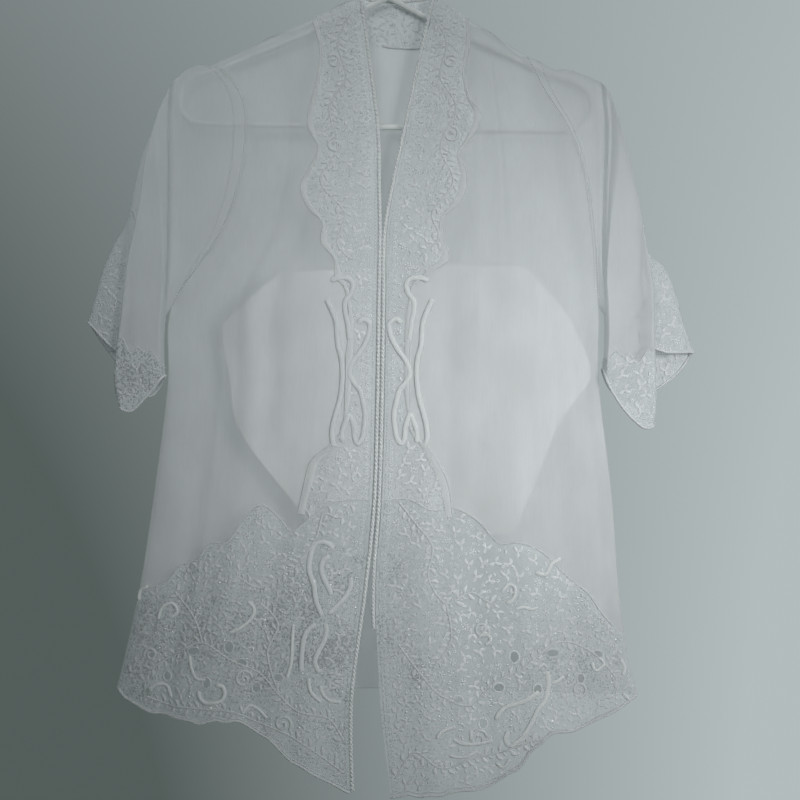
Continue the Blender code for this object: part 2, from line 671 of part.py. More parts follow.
def tilted(x, z):
    """A place on the hanger, which hangs a little lower on the left arm."""
    turned_x = x * math.cos(HANGER_TILT) + z * math.sin(HANGER_TILT)
    turned_z = z * math.cos(HANGER_TILT) - x * math.sin(HANGER_TILT)
    return Vector((turned_x, 0.0, turned_z))


def build_hanger():
    """Two swept arms with rounded ends and a bar below, one bent tube."""
    half = [through(HANGER_ARM, i / 2.0) for i in range(2 * len(HANGER_ARM) - 1)]
    right = [(-distance, height) for distance, height in half]
    loop = list(half) + list(reversed(right[1:]))
    points = [tilted(HANGER_CENTRE + distance, height) for distance, height in loop]
    return tube("hanger", points, WIRE_RADIUS, "hanger", resolution=2, closed=True)


def build_hook():
    """The hook over the rail, whose inside touches the origin."""
    centre_z = WIRE_RADIUS - HOOK_RADIUS
    arc = []
    for i in range(17):
        angle = math.radians(-15.0 + 210.0 * i / 16)
        arc.append((HOOK_RADIUS * math.cos(angle), centre_z + HOOK_RADIUS * math.sin(angle)))
    line = list(HOOK_STEM) + arc + list(HOOK_TIP)
    points = [tilted(x, z) for x, z in line]
    return tube("hanger_hook", points, WIRE_RADIUS, "hanger", resolution=2)


def cut_holes(side, targets):
    """Oval cutwork holes through the front and its border."""
    mesh = bpy.data.meshes.new(f"cutwork_{side}")
    work = bmesh.new()
    for hole in CUTWORK:
        before = set(work.verts)
        bmesh.ops.create_cone(work, cap_ends=True, segments=HOLE_SIDES, radius1=0.5, radius2=0.5, depth=1.0)
        centre = front_point(side, hole.share, hole.level)
        for vert in set(work.verts) - before:
            x, y, z = vert.co
            vert.co = Vector((centre.x + x * hole.width, centre.y - z * 30.0, centre.z + y * hole.height)) * MM
    bmesh.ops.recalc_face_normals(work, faces=work.faces)
    work.to_mesh(mesh)
    work.free()
    cutter = bpy.data.objects.new(f"cutwork_{side}", mesh)
    cutter.display_type = "WIRE"
    cutter.hide_render = True
    CUTTERS.objects.link(cutter)
    for target in targets:
        cut = target.modifiers.new("cutwork", "BOOLEAN")
        cut.operation = "DIFFERENCE"
        cut.object = cutter


for old in list(bpy.data.objects):
    bpy.data.objects.remove(old, do_unlink=True)
PARTS = bpy.data.collections.new("kebaya blouse")
CUTTERS = bpy.data.collections.new("cutters")
for collection in (PARTS, CUTTERS):
    bpy.context.scene.collection.children.link(collection)

build_hanger()
build_hook()
build_back()
build_neck_braid()
for wearer_side, braid_end in (("right", HEM_LEVEL - 0.02), ("left", 9.35)):
    panel = front_surface(wearer_side)
    front = sheet(f"front_{wearer_side}", panel.points, "voile", VOILE)
    hem_border = build_hem_border(wearer_side, panel)
    cut_holes(wearer_side, (front, hem_border))
    over, under = layer_height(EMBROIDERY), -layer_height(EMBROIDERY)
    build_band(f"neck_border_{wearer_side}", panel, NECK_BORDER[wearer_side], "embroidery", over, 0.12, 7.85)
    inner = LINING[wearer_side]
    build_band(f"lining_{wearer_side}", panel, inner, "lining", under, inner[0][0], inner[-1][0])
    build_sleeve(wearer_side)
    build_braid(wearer_side, braid_end)
    build_scrolls(wearer_side, panel)
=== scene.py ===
"""Looks of a sheer off-white kebaya blouse that hangs flat on a slim white hanger.

Voile panels, inner lining, embroidered borders, couched cords, twisted braid and sewing are modelled as
meshes on the frame's own form. Tables are in millimetres and the scene is in metres, +Z up. Right and
left are the wearer's, so the right half lies at -X.
"""
import math
import random
from collections import namedtuple

import bpy
import numpy as np
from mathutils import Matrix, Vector
from mathutils.bvhtree import BVHTree


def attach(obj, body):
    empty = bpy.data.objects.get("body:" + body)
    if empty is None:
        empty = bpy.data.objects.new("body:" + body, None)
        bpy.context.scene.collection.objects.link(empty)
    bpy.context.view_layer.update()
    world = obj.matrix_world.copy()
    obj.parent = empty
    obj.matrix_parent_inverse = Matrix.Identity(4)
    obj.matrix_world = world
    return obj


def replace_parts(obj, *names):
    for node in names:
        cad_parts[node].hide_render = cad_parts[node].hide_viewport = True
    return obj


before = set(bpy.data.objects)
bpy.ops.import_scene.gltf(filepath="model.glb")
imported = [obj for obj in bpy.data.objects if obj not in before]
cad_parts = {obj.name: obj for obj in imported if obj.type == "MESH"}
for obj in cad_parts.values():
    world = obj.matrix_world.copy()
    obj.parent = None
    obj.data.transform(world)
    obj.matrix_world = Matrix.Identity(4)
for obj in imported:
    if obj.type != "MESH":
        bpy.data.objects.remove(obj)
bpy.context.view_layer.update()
BODY = "root"
MM = 0.001

SEAM_DEPTH = 0.8

# A level crosses one front from the braid at the opening to the armhole or the side seam.
# Depths are how far the wall stands in front of the hanger: at the opening, added at mid-panel, at the side.
Level = namedtuple("Level", "edge_x edge_z side_x side_z edge_depth belly side_depth back_depth")

RIGHT_LEVELS = (
    Level(-22.0, -85, -168, -152, 6.5, 0.0, 6.5, 6.5),
    Level(-20.0, -97, -156, -160, 7.5, 0.5, 7.0, 7.0),
    Level(-15.0, -133, -140, -180, 9.0, 2.0, 9.5, 8.5),
    Level(-5.0, -212, -134, -212, 11.5, 5.0, 11.5, 10.0),
    Level(-3.4, -273, -140, -263, 13.0, 8.0, 11.5, 11.0),
    Level(-2.7, -317, -160, -317, 14.5, 9.0, 9.0, 12.0),
    Level(-3.6, -381, -206, -387, 17.0, 8.0, SEAM_DEPTH, 12.5),
    Level(-5.0, -479, -210, -464, 19.0, 3.0, SEAM_DEPTH, 12.0),
    Level(-8.0, -577, -223, -567, 20.0, 0.0, SEAM_DEPTH, 11.0),
    Level(-17.0, -665, -237, -660, 22.0, 0.0, SEAM_DEPTH, 12.0),
    Level(-30.0, -767, -252, -729, 25.0, 1.0, SEAM_DEPTH, 14.0),
    Level(-29.0, -856, -260, -761, 28.0, 2.0, SEAM_DEPTH, 15.0),
)
LEFT_LEVELS = (
    Level(49.0, -85, 141, -143, 6.5, 0.0, 6.5, 6.5),
    Level(47.0, -97, 146, -153, 7.5, 0.5, 7.0, 7.0),
    Level(37.0, -141, 159, -179, 9.0, 2.0, 9.5, 8.5),
    Level(22.0, -212, 181, -214, 11.5, 5.0, 11.5, 10.0),
    Level(11.0, -263, 196, -254, 13.0, 8.0, 11.5, 11.0),
    Level(1.9, -317, 206, -317, 14.5, 9.0, 9.0, 12.0),
    Level(0.9, -381, 211, -387, 17.0, 8.0, SEAM_DEPTH, 12.5),
    Level(-0.5, -479, 211, -464, 19.0, 3.0, SEAM_DEPTH, 12.0),
    Level(-3.4, -577, 223, -567, 20.0, 0.0, SEAM_DEPTH, 11.0),
    Level(-9.0, -665, 230, -660, 22.0, 0.0, SEAM_DEPTH, 12.0),
    Level(-5.0, -767, 239, -729, 25.0, 1.0, SEAM_DEPTH, 14.0),
    Level(5.0, -861, 249, -768, 28.0, 2.0, SEAM_DEPTH, 15.0),
)
LEVELS = {"right": RIGHT_LEVELS, "left": LEFT_LEVELS}
SIGN = {"right": -1, "left": 1}

# How far each front's pointed hem leaves the straight line between its corners: share across, drop.
HEM_CURVE = {
    "right": ((0.0, 0), (0.12, 3), (0.23, 7), (0.36, 20), (0.46, 24), (0.55, 16), (0.65, 4),
              (0.77, -1), (0.86, -7), (0.96, -5), (1.0, 0)),
    "left": ((0.0, 0), (0.06, -2), (0.13, -10), (0.22, -16), (0.38, -25), (0.50, -20), (0.58, -5),
             (0.64, 1), (0.74, -6), (0.89, -5), (1.0, 0)),
}
HEM_FADE_LEVELS = 2.2

# The back's upper edge: share across from the right shoulder point to the left one, rise above the line.
NECK_RISE = ((0.0, 0.0), (0.235, 31.0), (0.472, 63.5), (0.52, 59.0), (0.585, 57.0), (0.65, 58.5),
             (0.702, 60.5), (0.85, 30.0), (1.0, 0.0))
NECK_FROM = 0.472
NECK_TO = 0.702
NECK_FADE_LEVELS = 6.0
NECK_CORNER = 0.012

# Creases down one wall: share across, levels between which it runs, half width, depth inwards.
Crease = namedtuple("Crease", "wall share top foot width depth")
CREASES = (
    Crease("right", 0.50, 3.0, 8.2, 0.06, 3.5),
    Crease("right", 0.60, 4.2, 10.6, 0.06, -3.5),
    Crease("right", 0.80, 6.0, 13.0, 0.06, 4.5),
    Crease("right", 0.40, 7.4, 13.0, 0.06, 4.0),
    Crease("right", 0.18, 7.0, 13.0, 0.06, -3.5),
    Crease("left", 0.50, 1.2, 7.0, 0.06, 4.0),
    Crease("left", 0.60, 6.6, 12.6, 0.06, -4.0),
    Crease("left", 0.29, 4.6, 9.4, 0.06, 3.0),
    Crease("left", 0.80, 6.0, 13.0, 0.06, 4.5),
    Crease("left", 0.40, 7.2, 13.0, 0.06, 4.0),
    Crease("left", 0.18, 7.0, 13.0, 0.06, -3.5),
    Crease("back", 0.15, 5.0, 11.0, 0.05, 4.0),
    Crease("back", 0.34, 3.6, 12.0, 0.055, -4.5),
    Crease("back", 0.585, 3.8, 12.0, 0.045, -4.0),
    Crease("back", 0.76, 4.8, 13.0, 0.05, 4.5),
)
CREASE_FADE = 1.6
CREASE_SHARE = 0.6

# A sleeve's lines in x and z: under the arm and along the outer fold, each down to the dip that hangs
# from the hanger's end and then on to the hem, that dip from the arm up, the flare behind the fold,
# and the two hems. Its tuck turns in behind the fold and its hem rises there.
Sleeve = namedtuple("Sleeve", "cap_under under cap_edge edge flare dip front_hem back_hem tuck tuck_rise")
SLEEVES = {
    "right": Sleeve(
        cap_under=((-206, -387), (-213.5, -397)),
        under=((-213.5, -397), (-215, -425), (-213.5, -455)),
        cap_edge=((-168, -152), (-181, -151), (-194, -157), (-206, -169)),
        edge=((-206, -169), (-216, -190), (-223, -212), (-232, -245), (-237, -283), (-243, -312),
              (-250, -345), (-256, -395), (-262, -440), (-262, -467), (-257, -486)),
        flare=((-206, -169), (-216, -190), (-224, -211), (-236, -238), (-244, -273), (-251, -304),
               (-263, -324), (-274, -348), (-281, -372), (-290, -402)),
        dip=((-213.5, -397), (-210, -330), (-209, -260), (-209, -205), (-206, -169)),
        front_hem=((-213.5, -455), (-233, -479), (-246, -490), (-257, -486)),
        back_hem=((-213.5, -455), (-228, -474), (-244, -470), (-262, -443), (-279, -420), (-290, -402)),
        tuck=9.0, tuck_rise=40.0),
    "left": Sleeve(
        cap_under=((211, -387), (217.5, -397)),
        under=((217.5, -397), (217.5, -425), (215, -449)),
        cap_edge=((141, -143), (153, -147), (167, -156), (179, -155), (194, -160), (213, -168)),
        edge=((213, -168), (223, -181), (233, -214), (241, -244), (249, -278), (255, -312), (261, -344),
              (265, -381), (266, -427), (267, -479), (265, -503)),
        flare=((213, -168), (223, -181), (234, -214), (242, -244), (250, -278), (256, -312), (262, -336),
               (276, -348), (287, -373), (295, -403), (305, -432)),
        dip=((217.5, -397), (215, -335), (216, -270), (217, -210), (213, -168)),
        front_hem=((215, -449), (220, -465), (236, -490), (254, -506), (265, -503)),
        back_hem=((215, -449), (226, -470), (246, -481), (270, -468), (291, -452), (305, -432)),
        tuck=9.0, tuck_rise=70.0),
}
SLEEVE_HEM_DEPTH = 11.0
DIP_DEPTH = 6.0
DIP_BACK_DEPTH = 9.0
FLARE_FROM = 0.38
FLARE_FULL = 0.80
CUFF_FROM = 0.80
# Finer creases than the frame's, the same kind of rows.
FINE_CREASES = (
    Crease("right", 0.30, 1.0, 6.0, 0.025, 0.8),
    Crease("right", 0.66, 2.2, 7.4, 0.022, 0.9),
    Crease("right", 0.74, 5.4, 11.5, 0.02, -0.8),
    Crease("right", 0.55, 7.6, 12.5, 0.02, 1.0),
    Crease("right", 0.86, 3.0, 8.0, 0.025, 0.6),
    Crease("right", 0.28, 6.2, 12.0, 0.02, -0.7),
    Crease("right", 0.91, 8.0, 12.8, 0.02, 0.7),
    Crease("left", 0.34, 0.8, 5.2, 0.022, 0.9),
    Crease("left", 0.43, 1.6, 7.2, 0.016, -1.1),
    Crease("left", 0.56, 0.9, 6.2, 0.014, 1.3),
    Crease("left", 0.70, 3.6, 9.2, 0.024, -0.8),
    Crease("left", 0.74, 8.0, 12.8, 0.02, 0.9),
    Crease("left", 0.52, 7.4, 12.6, 0.024, -0.8),
    Crease("left", 0.28, 7.6, 12.4, 0.02, 0.8),
    Crease("left", 0.88, 5.0, 11.0, 0.022, 0.7),
    Crease("back", 0.22, 2.6, 9.0, 0.02, 1.0),
    Crease("back", 0.28, 5.0, 12.4, 0.016, -0.9),
    Crease("back", 0.42, 1.6, 7.5, 0.018, 1.1),
    Crease("back", 0.50, 4.4, 12.6, 0.022, -1.2),
    Crease("back", 0.66, 2.0, 8.6, 0.018, 1.0),
    Crease("back", 0.71, 6.4, 12.8, 0.016, -0.9),
    Crease("back", 0.84, 3.4, 10.0, 0.02, 0.8),
    Crease("back", 0.08, 6.0, 12.0, 0.02, 0.7),
)
# Folds along the line that hangs from the hanger's end: place across in mm, outwards from the line,
# half width and height.
DIP_FOLDS = {
    "right": ((-4.0, 3.4, 2.6), (3.0, 2.6, -3.2)),
    "left": ((-6.0, 3.0, 1.6), (0.0, 2.6, -3.6), (7.0, 3.2, 1.6)),
}

# Outer edge of the embroidered border along the neck and the opening, from the shoulder down, as x and z.
NECK_OUTLINE = {
    "right": ((-68, -80), (-68, -107), (-61, -138), (-64, -170), (-70, -193), (-72, -214), (-62, -236),
              (-71, -256), (-79, -273), (-72, -293), (-58, -308), (-59, -327), (-47, -342), (-45, -361),
              (-36, -372), (-32, -405), (-35, -440), (-36, -479), (-39, -508), (-52, -523), (-69, -538),
              (-77, -567), (-84, -600)),
    "left": ((80, -80), (84, -131), (79, -160), (84, -185), (94, -200), (90, -219), (74, -241), (81, -259),
             (78, -283), (59, -302), (58, -322), (64, -342), (46, -356), (30, -371), (27, -410), (26, -459),
             (29, -508), (46, -528), (62, -557), (67, -587), (70, -610)),
}
# Upper edge of the embroidered hem border, from the opening to the side seam, as x and z.
HEM_OUTLINE = {
    "right": ((0, -577), (-30, -575), (-52, -581), (-72, -594), (-88, -606), (-101, -592), (-118, -581),
              (-136, -597), (-150, -615), (-168, -619), (-180, -634), (-197, -640), (-212, -657), (-232, -663),
              (-270, -672)),
    "left": ((-10, -577), (24, -575), (48, -586), (70, -584), (93, -597), (112, -618), (130, -617), (152, -625),
             (168, -640), (184, -655), (200, -668), (214, -688), (232, -706), (262, -722)),
}
# Outer edge of the inner bust lining, from its upper edge down, as x and z.
LINING_OUTLINE = {
    "right": ((-95, -352), (-150, -400), (-155, -418), (-148, -460), (-144, -495), (-132, -519), (-113, -545),
              (-70, -598)),
    "left": ((134, -346), (172, -385), (196, -425), (204, -455), (188, -480), (171, -505), (148, -560),
             (124, -616)),
}
LINING_FOOT = {"right": -596, "left": -612}

# Couched curls: x and z of the eye, size, start angle, turns; a negative turn curls the other way.
Curl = namedtuple("Curl", "x z size angle turns")
CURLS = {
    "right": (Curl(-48, -150, 7, 40, 1.3), Curl(-46, -232, 8, 200, -1.3), Curl(-56, -530, 8, 30, 1.3),
              Curl(-134, -748, 9, 150, -1.4), Curl(-226, -727, 7, 90, 1.3), Curl(-96, -790, 9, 60, -1.3)),
    "left": (Curl(66, -150, 7, 140, -1.3), Curl(66, -222, 8, -20, 1.3), Curl(50, -548, 8, 150, -1.3),
             Curl(190, -760, 8, 20, -1.3), Curl(92, -805, 9, 150, -1.4), Curl(96, -700, 8, 240, 1.3)),
}
# Leafy stems of the borders, as x and z.
VINES = {
    "right": (
        ((-32, -102), (-44, -131), (-36, -165), (-52, -195), (-44, -234), (-60, -268),
         (-37, -298), (-44, -327), (-30, -344)),
        ((-30, -577), (-42, -592), (-57, -589), (-64, -611), (-81, -636), (-96, -646),
         (-119, -660), (-140, -650)),
        ((-37, -807), (-52, -785), (-81, -778), (-99, -763), (-119, -742), (-148, -729),
         (-174, -714), (-199, -724), (-228, -742)),
        ((-37, -837), (-64, -817), (-91, -800), (-119, -789), (-145, -779), (-174, -777),
         (-204, -775), (-230, -767)),
        ((-99, -763), (-111, -724), (-101, -695), (-119, -675)),
        ((-174, -714), (-183, -690), (-203, -665)),
    ),
    "left": (
        ((48, -102), (62, -131), (56, -165), (71, -195), (56, -234), (68, -268), (48, -298),
         (54, -322), (36, -340)),
        ((15, -577), (31, -597), (48, -621), (44, -650), (61, -675), (85, -665), (107, -675), (134, -660)),
        ((12, -842), (31, -817), (56, -832), (85, -824), (115, -817), (144, -807), (173, -800),
         (213, -789), (242, -773)),
        ((15, -714), (34, -739), (56, -763), (85, -773), (105, -753), (134, -739)),
        ((134, -739), (169, -714), (203, -724), (230, -753)),
        ((61, -675), (66, -709), (51, -734)),
    ),
}
# Raised ribbon scrolls beside the opening of the left front, as x and z; the right front mirrors them.
FRONT_SCROLLS = {
    "outer": ((48, -382), (43, -393), (39, -404), (38, -415), (37, -427), (34, -438), (33, -449),
              (33, -459), (34, -470), (36, -481), (39, -491), (42, -503), (43, -514), (41, -524)),
    "inner": ((18, -405), (13, -401), (7, -405), (7, -413), (10, -422), (15, -431), (21, -439), (25, -447),
              (26, -455), (22, -462), (16, -470), (13, -481), (11, -493), (12, -506), (14, -516),
              (18, -521), (21, -516), (22, -505), (26, -494), (30, -500), (33, -510), (33, -520)),
    "loop": ((44, -364), (36, -361), (27, -362), (23, -368), (25, -376), (30, -384), (30, -394), (28, -404),
             (27, -412), (26, -421)),
}
SCROLL_MIRROR = -5.9
# The scrolls of the hem borders, as x and z.
HEM_SCROLLS = {
    "right_hem_long": ((-48, -622), (-53, -617), (-61, -616), (-67, -621), (-70, -631), (-71, -641),
                       (-69, -650), (-66, -658), (-65, -668), (-62, -678), (-58, -687)),
    "right_hem_curl": ((-51, -629), (-57, -633), (-59, -641), (-57, -650), (-53, -658), (-49, -667)),
    "right_hem_branch": ((-31, -650), (-31, -658), (-35, -667), (-41, -674), (-47, -680), (-52, -685)),
    "right_hem_stem": ((-64, -694), (-71, -699), (-75, -706), (-77, -717), (-78, -729), (-78, -740)),
    "right_hem_tail": ((-55, -694), (-54, -702), (-57, -712), (-62, -721), (-65, -731), (-61, -741)),
    "left_hem_long": ((159, -741), (160, -750), (159, -760), (156, -769), (150, -776), (146, -784),
                      (141, -793), (136, -801), (129, -808), (122, -811), (118, -805), (121, -798)),
    "left_hem_branch": ((151, -760), (144, -764), (136, -769), (126, -772), (118, -775), (112, -781),
                        (109, -787)),
}
# Smaller cords: x and z of each point along the cord, and the half width.
Ribbon = namedtuple("Ribbon", "points width")
EXTRA_RIBBONS = {
    "right": (
        Ribbon(((-86, -695), (-87, -714), (-88, -732), (-92, -746)), 1.6),
        Ribbon(((-71, -746), (-70, -756), (-66, -763), (-59, -769)), 1.8),
        Ribbon(((-60, -753), (-57, -762), (-50, -768), (-40, -769)), 1.6),
        Ribbon(((-178, -760), (-176, -767), (-171, -771), (-163, -771), (-155, -768),
                (-152, -761), (-155, -755), (-161, -754)), 2.0),
        Ribbon(((-187, -726), (-185, -738), (-180, -748), (-171, -749)), 1.5),
        Ribbon(((-239, -675), (-237, -665), (-229, -661)), 1.8),
        Ribbon(((-148, -704), (-138, -699), (-128, -691), (-124, -681), (-130, -673)), 1.8),
        Ribbon(((-219, -693), (-215, -681), (-205, -677), (-200, -685), (-207, -691)), 1.6),
        Ribbon(((-228, -761), (-219, -755), (-209, -757), (-205, -767)), 1.6),
        Ribbon(((-137, -773), (-134, -779), (-128, -773), (-119, -777), (-111, -785)), 1.5),
    ),
    "left": (
        Ribbon(((52, -804), (56, -798), (62, -795), (70, -793)), 2.0),
        Ribbon(((68, -805), (76, -809), (86, -810), (96, -809), (106, -807)), 1.6),
        Ribbon(((64, -820), (72, -822), (81, -821), (91, -816)), 1.5),
        Ribbon(((85, -797), (85, -807)), 2.0),
        Ribbon(((109, -828), (116, -832), (122, -824)), 1.6),
        Ribbon(((150, -738), (155, -734), (159, -738)), 1.5),
        Ribbon(((163, -753), (170, -750), (175, -746)), 1.6),
        Ribbon(((128, -681), (136, -679), (144, -681), (150, -679)), 1.6),
        Ribbon(((148, -646), (158, -648), (164, -638), (173, -633)), 2.0),
        Ribbon(((203, -734), (207, -742), (215, -736), (211, -730)), 1.6),
        Ribbon(((232, -732), (236, -740), (234, -748)), 1.8),
        Ribbon(((234, -765), (240, -771), (248, -773)), 1.8),
        Ribbon(((115, -665), (121, -657), (128, -661), (126, -671), (119, -675)), 1.6),
        Ribbon(((93, -708), (99, -704), (104, -710), (99, -716)), 1.6),
    ),
}
# Zones of the borders and cuffs, lighter above 0 and darker below 0: x and z, half width, half height, tone.
# Above 0 the work on the fronts is also more open, with fewer knots. The cuff zones are painted shade on the wearer's
# right cuff and painted light on the left one. The band beside the opening is painted lighter against the shadows of
# its ribbons.
LIGHT_AND_OPENNESS_ZONES = {
    "right": ((-22, -450, 34, 110, 1.0), (-40, -750, 34, 110, -0.25), (-190, -700, 70, 60, -0.3),
              (-110, -710, 60, 60, -0.3), (-250, -470, 60, 50, -0.5)),
    "left": ((20, -450, 34, 120, 1.5), (96, -690, 26, 105, 1.5), (145, -640, 36, 36, 1.4),
             (10, -720, 30, 110, -0.3), (195, -735, 50, 42, -0.3), (125, -825, 70, 24, 1.2),
             (170, -800, 60, 22, 1.2), (250, -470, 60, 60, 0.3)),
}
# Cutwork holes: share across and level as in the frame, half width and half height.
Hole = namedtuple("Hole", "share level width height")
CUTWORK = (Hole(0.88, 9.85, 4.5, 3.0), Hole(0.80, 10.15, 3.0, 4.0), Hole(0.70, 9.75, 5.5, 3.2),
           Hole(0.62, 10.2, 3.5, 4.5), Hole(0.545, 9.7, 3.8, 5.0), Hole(0.475, 9.95, 4.5, 3.5),
           Hole(0.40, 10.25, 3.5, 4.5), Hole(0.31, 10.0, 4.0, 3.0))

# Braid, cords and threads
SCROLL_HALF_WIDTH = 2.4
SCROLL_HALF_HEIGHT = 0.8
BRAID_RADIUS = 2.0
BRAID_CLEAR = 0.5
BRAID_PITCH = 8.0
STRAND_RADIUS = 1.15
EDGE_CORD = 1.1
CURL_CORD = 1.3
FINE_CORD = 0.6
STEM_CORD = 0.9
GROUND_LIFT = 0.35
STITCH_LIFT = 0.4
SATIN_RISE = 0.6
INNER_DROP = -0.7

FACING_LEVEL = 1.6

# Mesh density
PANEL_ROWS = 231
FRONT_COLUMNS = 111
BACK_COLUMNS = 161
SLEEVE_COLUMNS = 46
TUCK_STEPS = 16
HEM_LEVEL = 11.0
UNDERARM_LEVEL = 6.0
CAP_STEPS = (0.0, 0.08, 0.18, 0.29, 0.40, 0.51, 0.62, 0.72, 0.80, 0.86, 0.91, 0.95)
GROOVE_STEPS = (0.0, 0.006, 0.012, 0.018, 0.026, 0.035, 0.046, 0.06)
ARM_ROWS = 72

# Camera: the part of the blouse's plane that the frame holds, and how far off the camera stands
VIEW_WIDTH = 784.0
VIEW_X = 16.7
VIEW_Z = -479.0
VIEW_DISTANCE = 1300.0
SENSOR = 36.0
FLOOR_Z = -1.25


def clamp(value, low=0.0, high=1.0):
    return max(low, min(high, value))


def smooth(value):
    value = clamp(value)
    return value * value * (3.0 - 2.0 * value)


def through(rows, place):
    """The row at a fractional place in a table, on a smooth curve through its neighbours."""
    last = len(rows) - 1
    place = clamp(place, 0.0, float(last))
    start = min(int(place), last - 1)
    t = place - start
    before, here = rows[max(start - 1, 0)], rows[start]
    there, after = rows[start + 1], rows[min(start + 2, last)]
    return [
        0.5 * (2 * b + (c - a) * t + (2 * a - 5 * b + 4 * c - d) * t * t + (3 * b - a - 3 * c + d) * t ** 3)
        for a, b, c, d in zip(before, here, there, after)
    ]


def lookup(table, key):
    """The second column of a table, read between its rows."""
    for (low, first), (high, second) in zip(table, table[1:]):
        if key <= high:
            return first + (second - first) * smooth((key - low) / (high - low))
    return table[-1][1]


def along(points, share):
    """A point at a share of the length of a smooth line through the points."""
    lengths = [math.dist(a, b) for a, b in zip(points, points[1:])]
    left = clamp(share) * sum(lengths)
    for index, length in enumerate(lengths):
        if left <= length or index == len(lengths) - 1:
            return through(points, index + min(left / length, 1.0))
        left -= length


def crease_depth(wall, share, level):
    """How far the creases push a panel's wall inwards."""
    total = 0.0
    for crease in CREASES + FINE_CREASES:
        if crease.wall == wall:
            ends = smooth((level - crease.top) / CREASE_FADE) * smooth((crease.foot - level) / CREASE_FADE)
            total += crease.depth * ends * math.exp(-(((share - crease.share) / crease.width) ** 2))
    return CREASE_SHARE * total


def swell(share):
    """The rounding of a panel from the middle, 1, to the side seam, 0."""
    return (1.0 - clamp(share) ** 2.2) ** 0.75


def front_point(side, share, level):
    row = Level(*through(LEVELS[side], level))
    edge_x = row.edge_x + SIGN[side] * (BRAID_RADIUS + BRAID_CLEAR)
    x = edge_x + (row.side_x - edge_x) * share
    fade = smooth(1.0 - (HEM_LEVEL - level) / HEM_FADE_LEVELS)
    z = row.edge_z + (row.side_z - row.edge_z) * share + lookup(HEM_CURVE[side], share) * fade
    depth = row.side_depth + (row.edge_depth - row.side_depth) * swell(share)
    depth += row.belly * math.sin(math.pi * share)
    depth -= crease_depth(side, share, level)
    depth = SEAM_DEPTH + max(depth - SEAM_DEPTH, 0.0) * math.sqrt(clamp(level))
    return Vector((x, -depth, z))


def back_point(share, level):
    right = Level(*through(RIGHT_LEVELS, level))
    left = Level(*through(LEFT_LEVELS, level))
    x = right.side_x + (left.side_x - right.side_x) * share
    fade = (1.0 - clamp(level / NECK_FADE_LEVELS)) ** 1.5
    z = right.side_z + (left.side_z - right.side_z) * share + lookup(NECK_RISE, share) * fade
    side_depth = right.side_depth + (left.side_depth - right.side_depth) * share
    depth = side_depth + (right.back_depth - side_depth) * swell(abs(2.0 * share - 1.0))
    depth -= crease_depth("back", share, level)
    at_neck = smooth((share - NECK_FROM) / NECK_CORNER) * smooth((NECK_TO - share) / NECK_CORNER)
    depth = SEAM_DEPTH + max(depth - SEAM_DEPTH, 0.0) * max(math.sqrt(clamp(level)), at_neck)
    return Vector((x, depth, z))


def armhole_point(side, layer, share):
    """The armhole seam from the underarm, 0, to the shoulder point, 1."""
    level = UNDERARM_LEVEL * (1.0 - share)
    if layer == "front":
        return front_point(side, 1.0, level)
    return back_point(0.0 if side == "right" else 1.0, level)


def flat(point, depth):
    return Vector((point[0], depth, point[1]))


def patch(share, step, top, foot, inner, outer):
    """A point of the surface between four lines, given as functions of share or of step."""
    point = top(share) * (1 - step) + foot(share) * step + inner(step) * (1 - share) + outer(step) * share
    point -= (top(0.0) * (1 - share) + top(1.0) * share) * (1 - step)
    point -= (foot(0.0) * (1 - share) + foot(1.0) * share) * step
    return point


def rounded(share):
    """The rounding of a flattened tube, 0 at its two folds."""
    return math.sqrt(clamp(20.0 * (1.0 - share)) * clamp(8.0 * share))


def sleeve_layer(side, layer, share, band, step):
    """One layer of a sleeve. The cap band runs from the armhole to the dip, the arm band on to the hem."""
    sleeve = SLEEVES[side]
    front = layer == "front"
    way = -1.0 if front else 1.0
    dip_depth = DIP_DEPTH if front else DIP_BACK_DEPTH

    def armhole(at):
        return armhole_point(side, layer, at)

    def dip(at):
        low, high = armhole(0.0).z, armhole(1.0).z
        height = (armhole(at).z - low) / (high - low)
        return flat(along(sleeve.dip, height), way * (SEAM_DEPTH + (dip_depth - SEAM_DEPTH) * rounded(at)))

    def hem(at):
        line = sleeve.front_hem if front else sleeve.back_hem
        return flat(along(line, at), way * (SEAM_DEPTH + (SLEEVE_HEM_DEPTH - SEAM_DEPTH) * rounded(at)))

    def edge_line(line):
        return lambda at: flat(along(line, at), way * SEAM_DEPTH)

    if band == "cap":
        point = patch(share, step, armhole, dip, edge_line(sleeve.cap_under), edge_line(sleeve.cap_edge))
        if front:
            point.y -= dip_fold(side, share, -(dip(share) - point).length)
        return point
    outer = edge_line(sleeve.edge if front else sleeve.flare)
    point = patch(share, step, dip, hem, edge_line(sleeve.under), outer)
    full = SLEEVE_HEM_DEPTH * rounded(share) * smooth(step * 6.0) * (1.0 - step)
    point.y += way * full * (0.7 if front else 0.2)
    if front:
        point.y -= dip_fold(side, share, (point - dip(share)).length)
    return point


def tuck_points(side, band, step):
    """The cloth between the outer fold and the flare: it turns in behind the fold and out again."""
    sleeve = SLEEVES[side]
    open_share = 0.0 if band == "cap" else smooth((step - FLARE_FROM) / (FLARE_FULL - FLARE_FROM))
    fold = sleeve_layer(side, "front", 1.0, band, step)
    flare = sleeve_layer(side, "back", 1.0, band, step)
    fold.y -= 3.0 * open_share
    flare.y += 2.0 * open_share
    rise = sleeve.tuck_rise * open_share * clamp((step - FLARE_FROM) / (1.0 - FLARE_FROM)) ** 2
    tuck = fold + Vector((-SIGN[side] * sleeve.tuck * open_share, 3.4 * open_share + 0.5, rise))
    middle = (tuck + flare) / 2.0
    middle.y = fold.y + 1.1 + 2.2 * open_share
    line = [tuple(fold), tuple(tuck), tuple(middle), tuple(flare)]
    return [Vector(through(line, 3.0 * i / TUCK_STEPS)) for i in range(TUCK_STEPS + 1)]


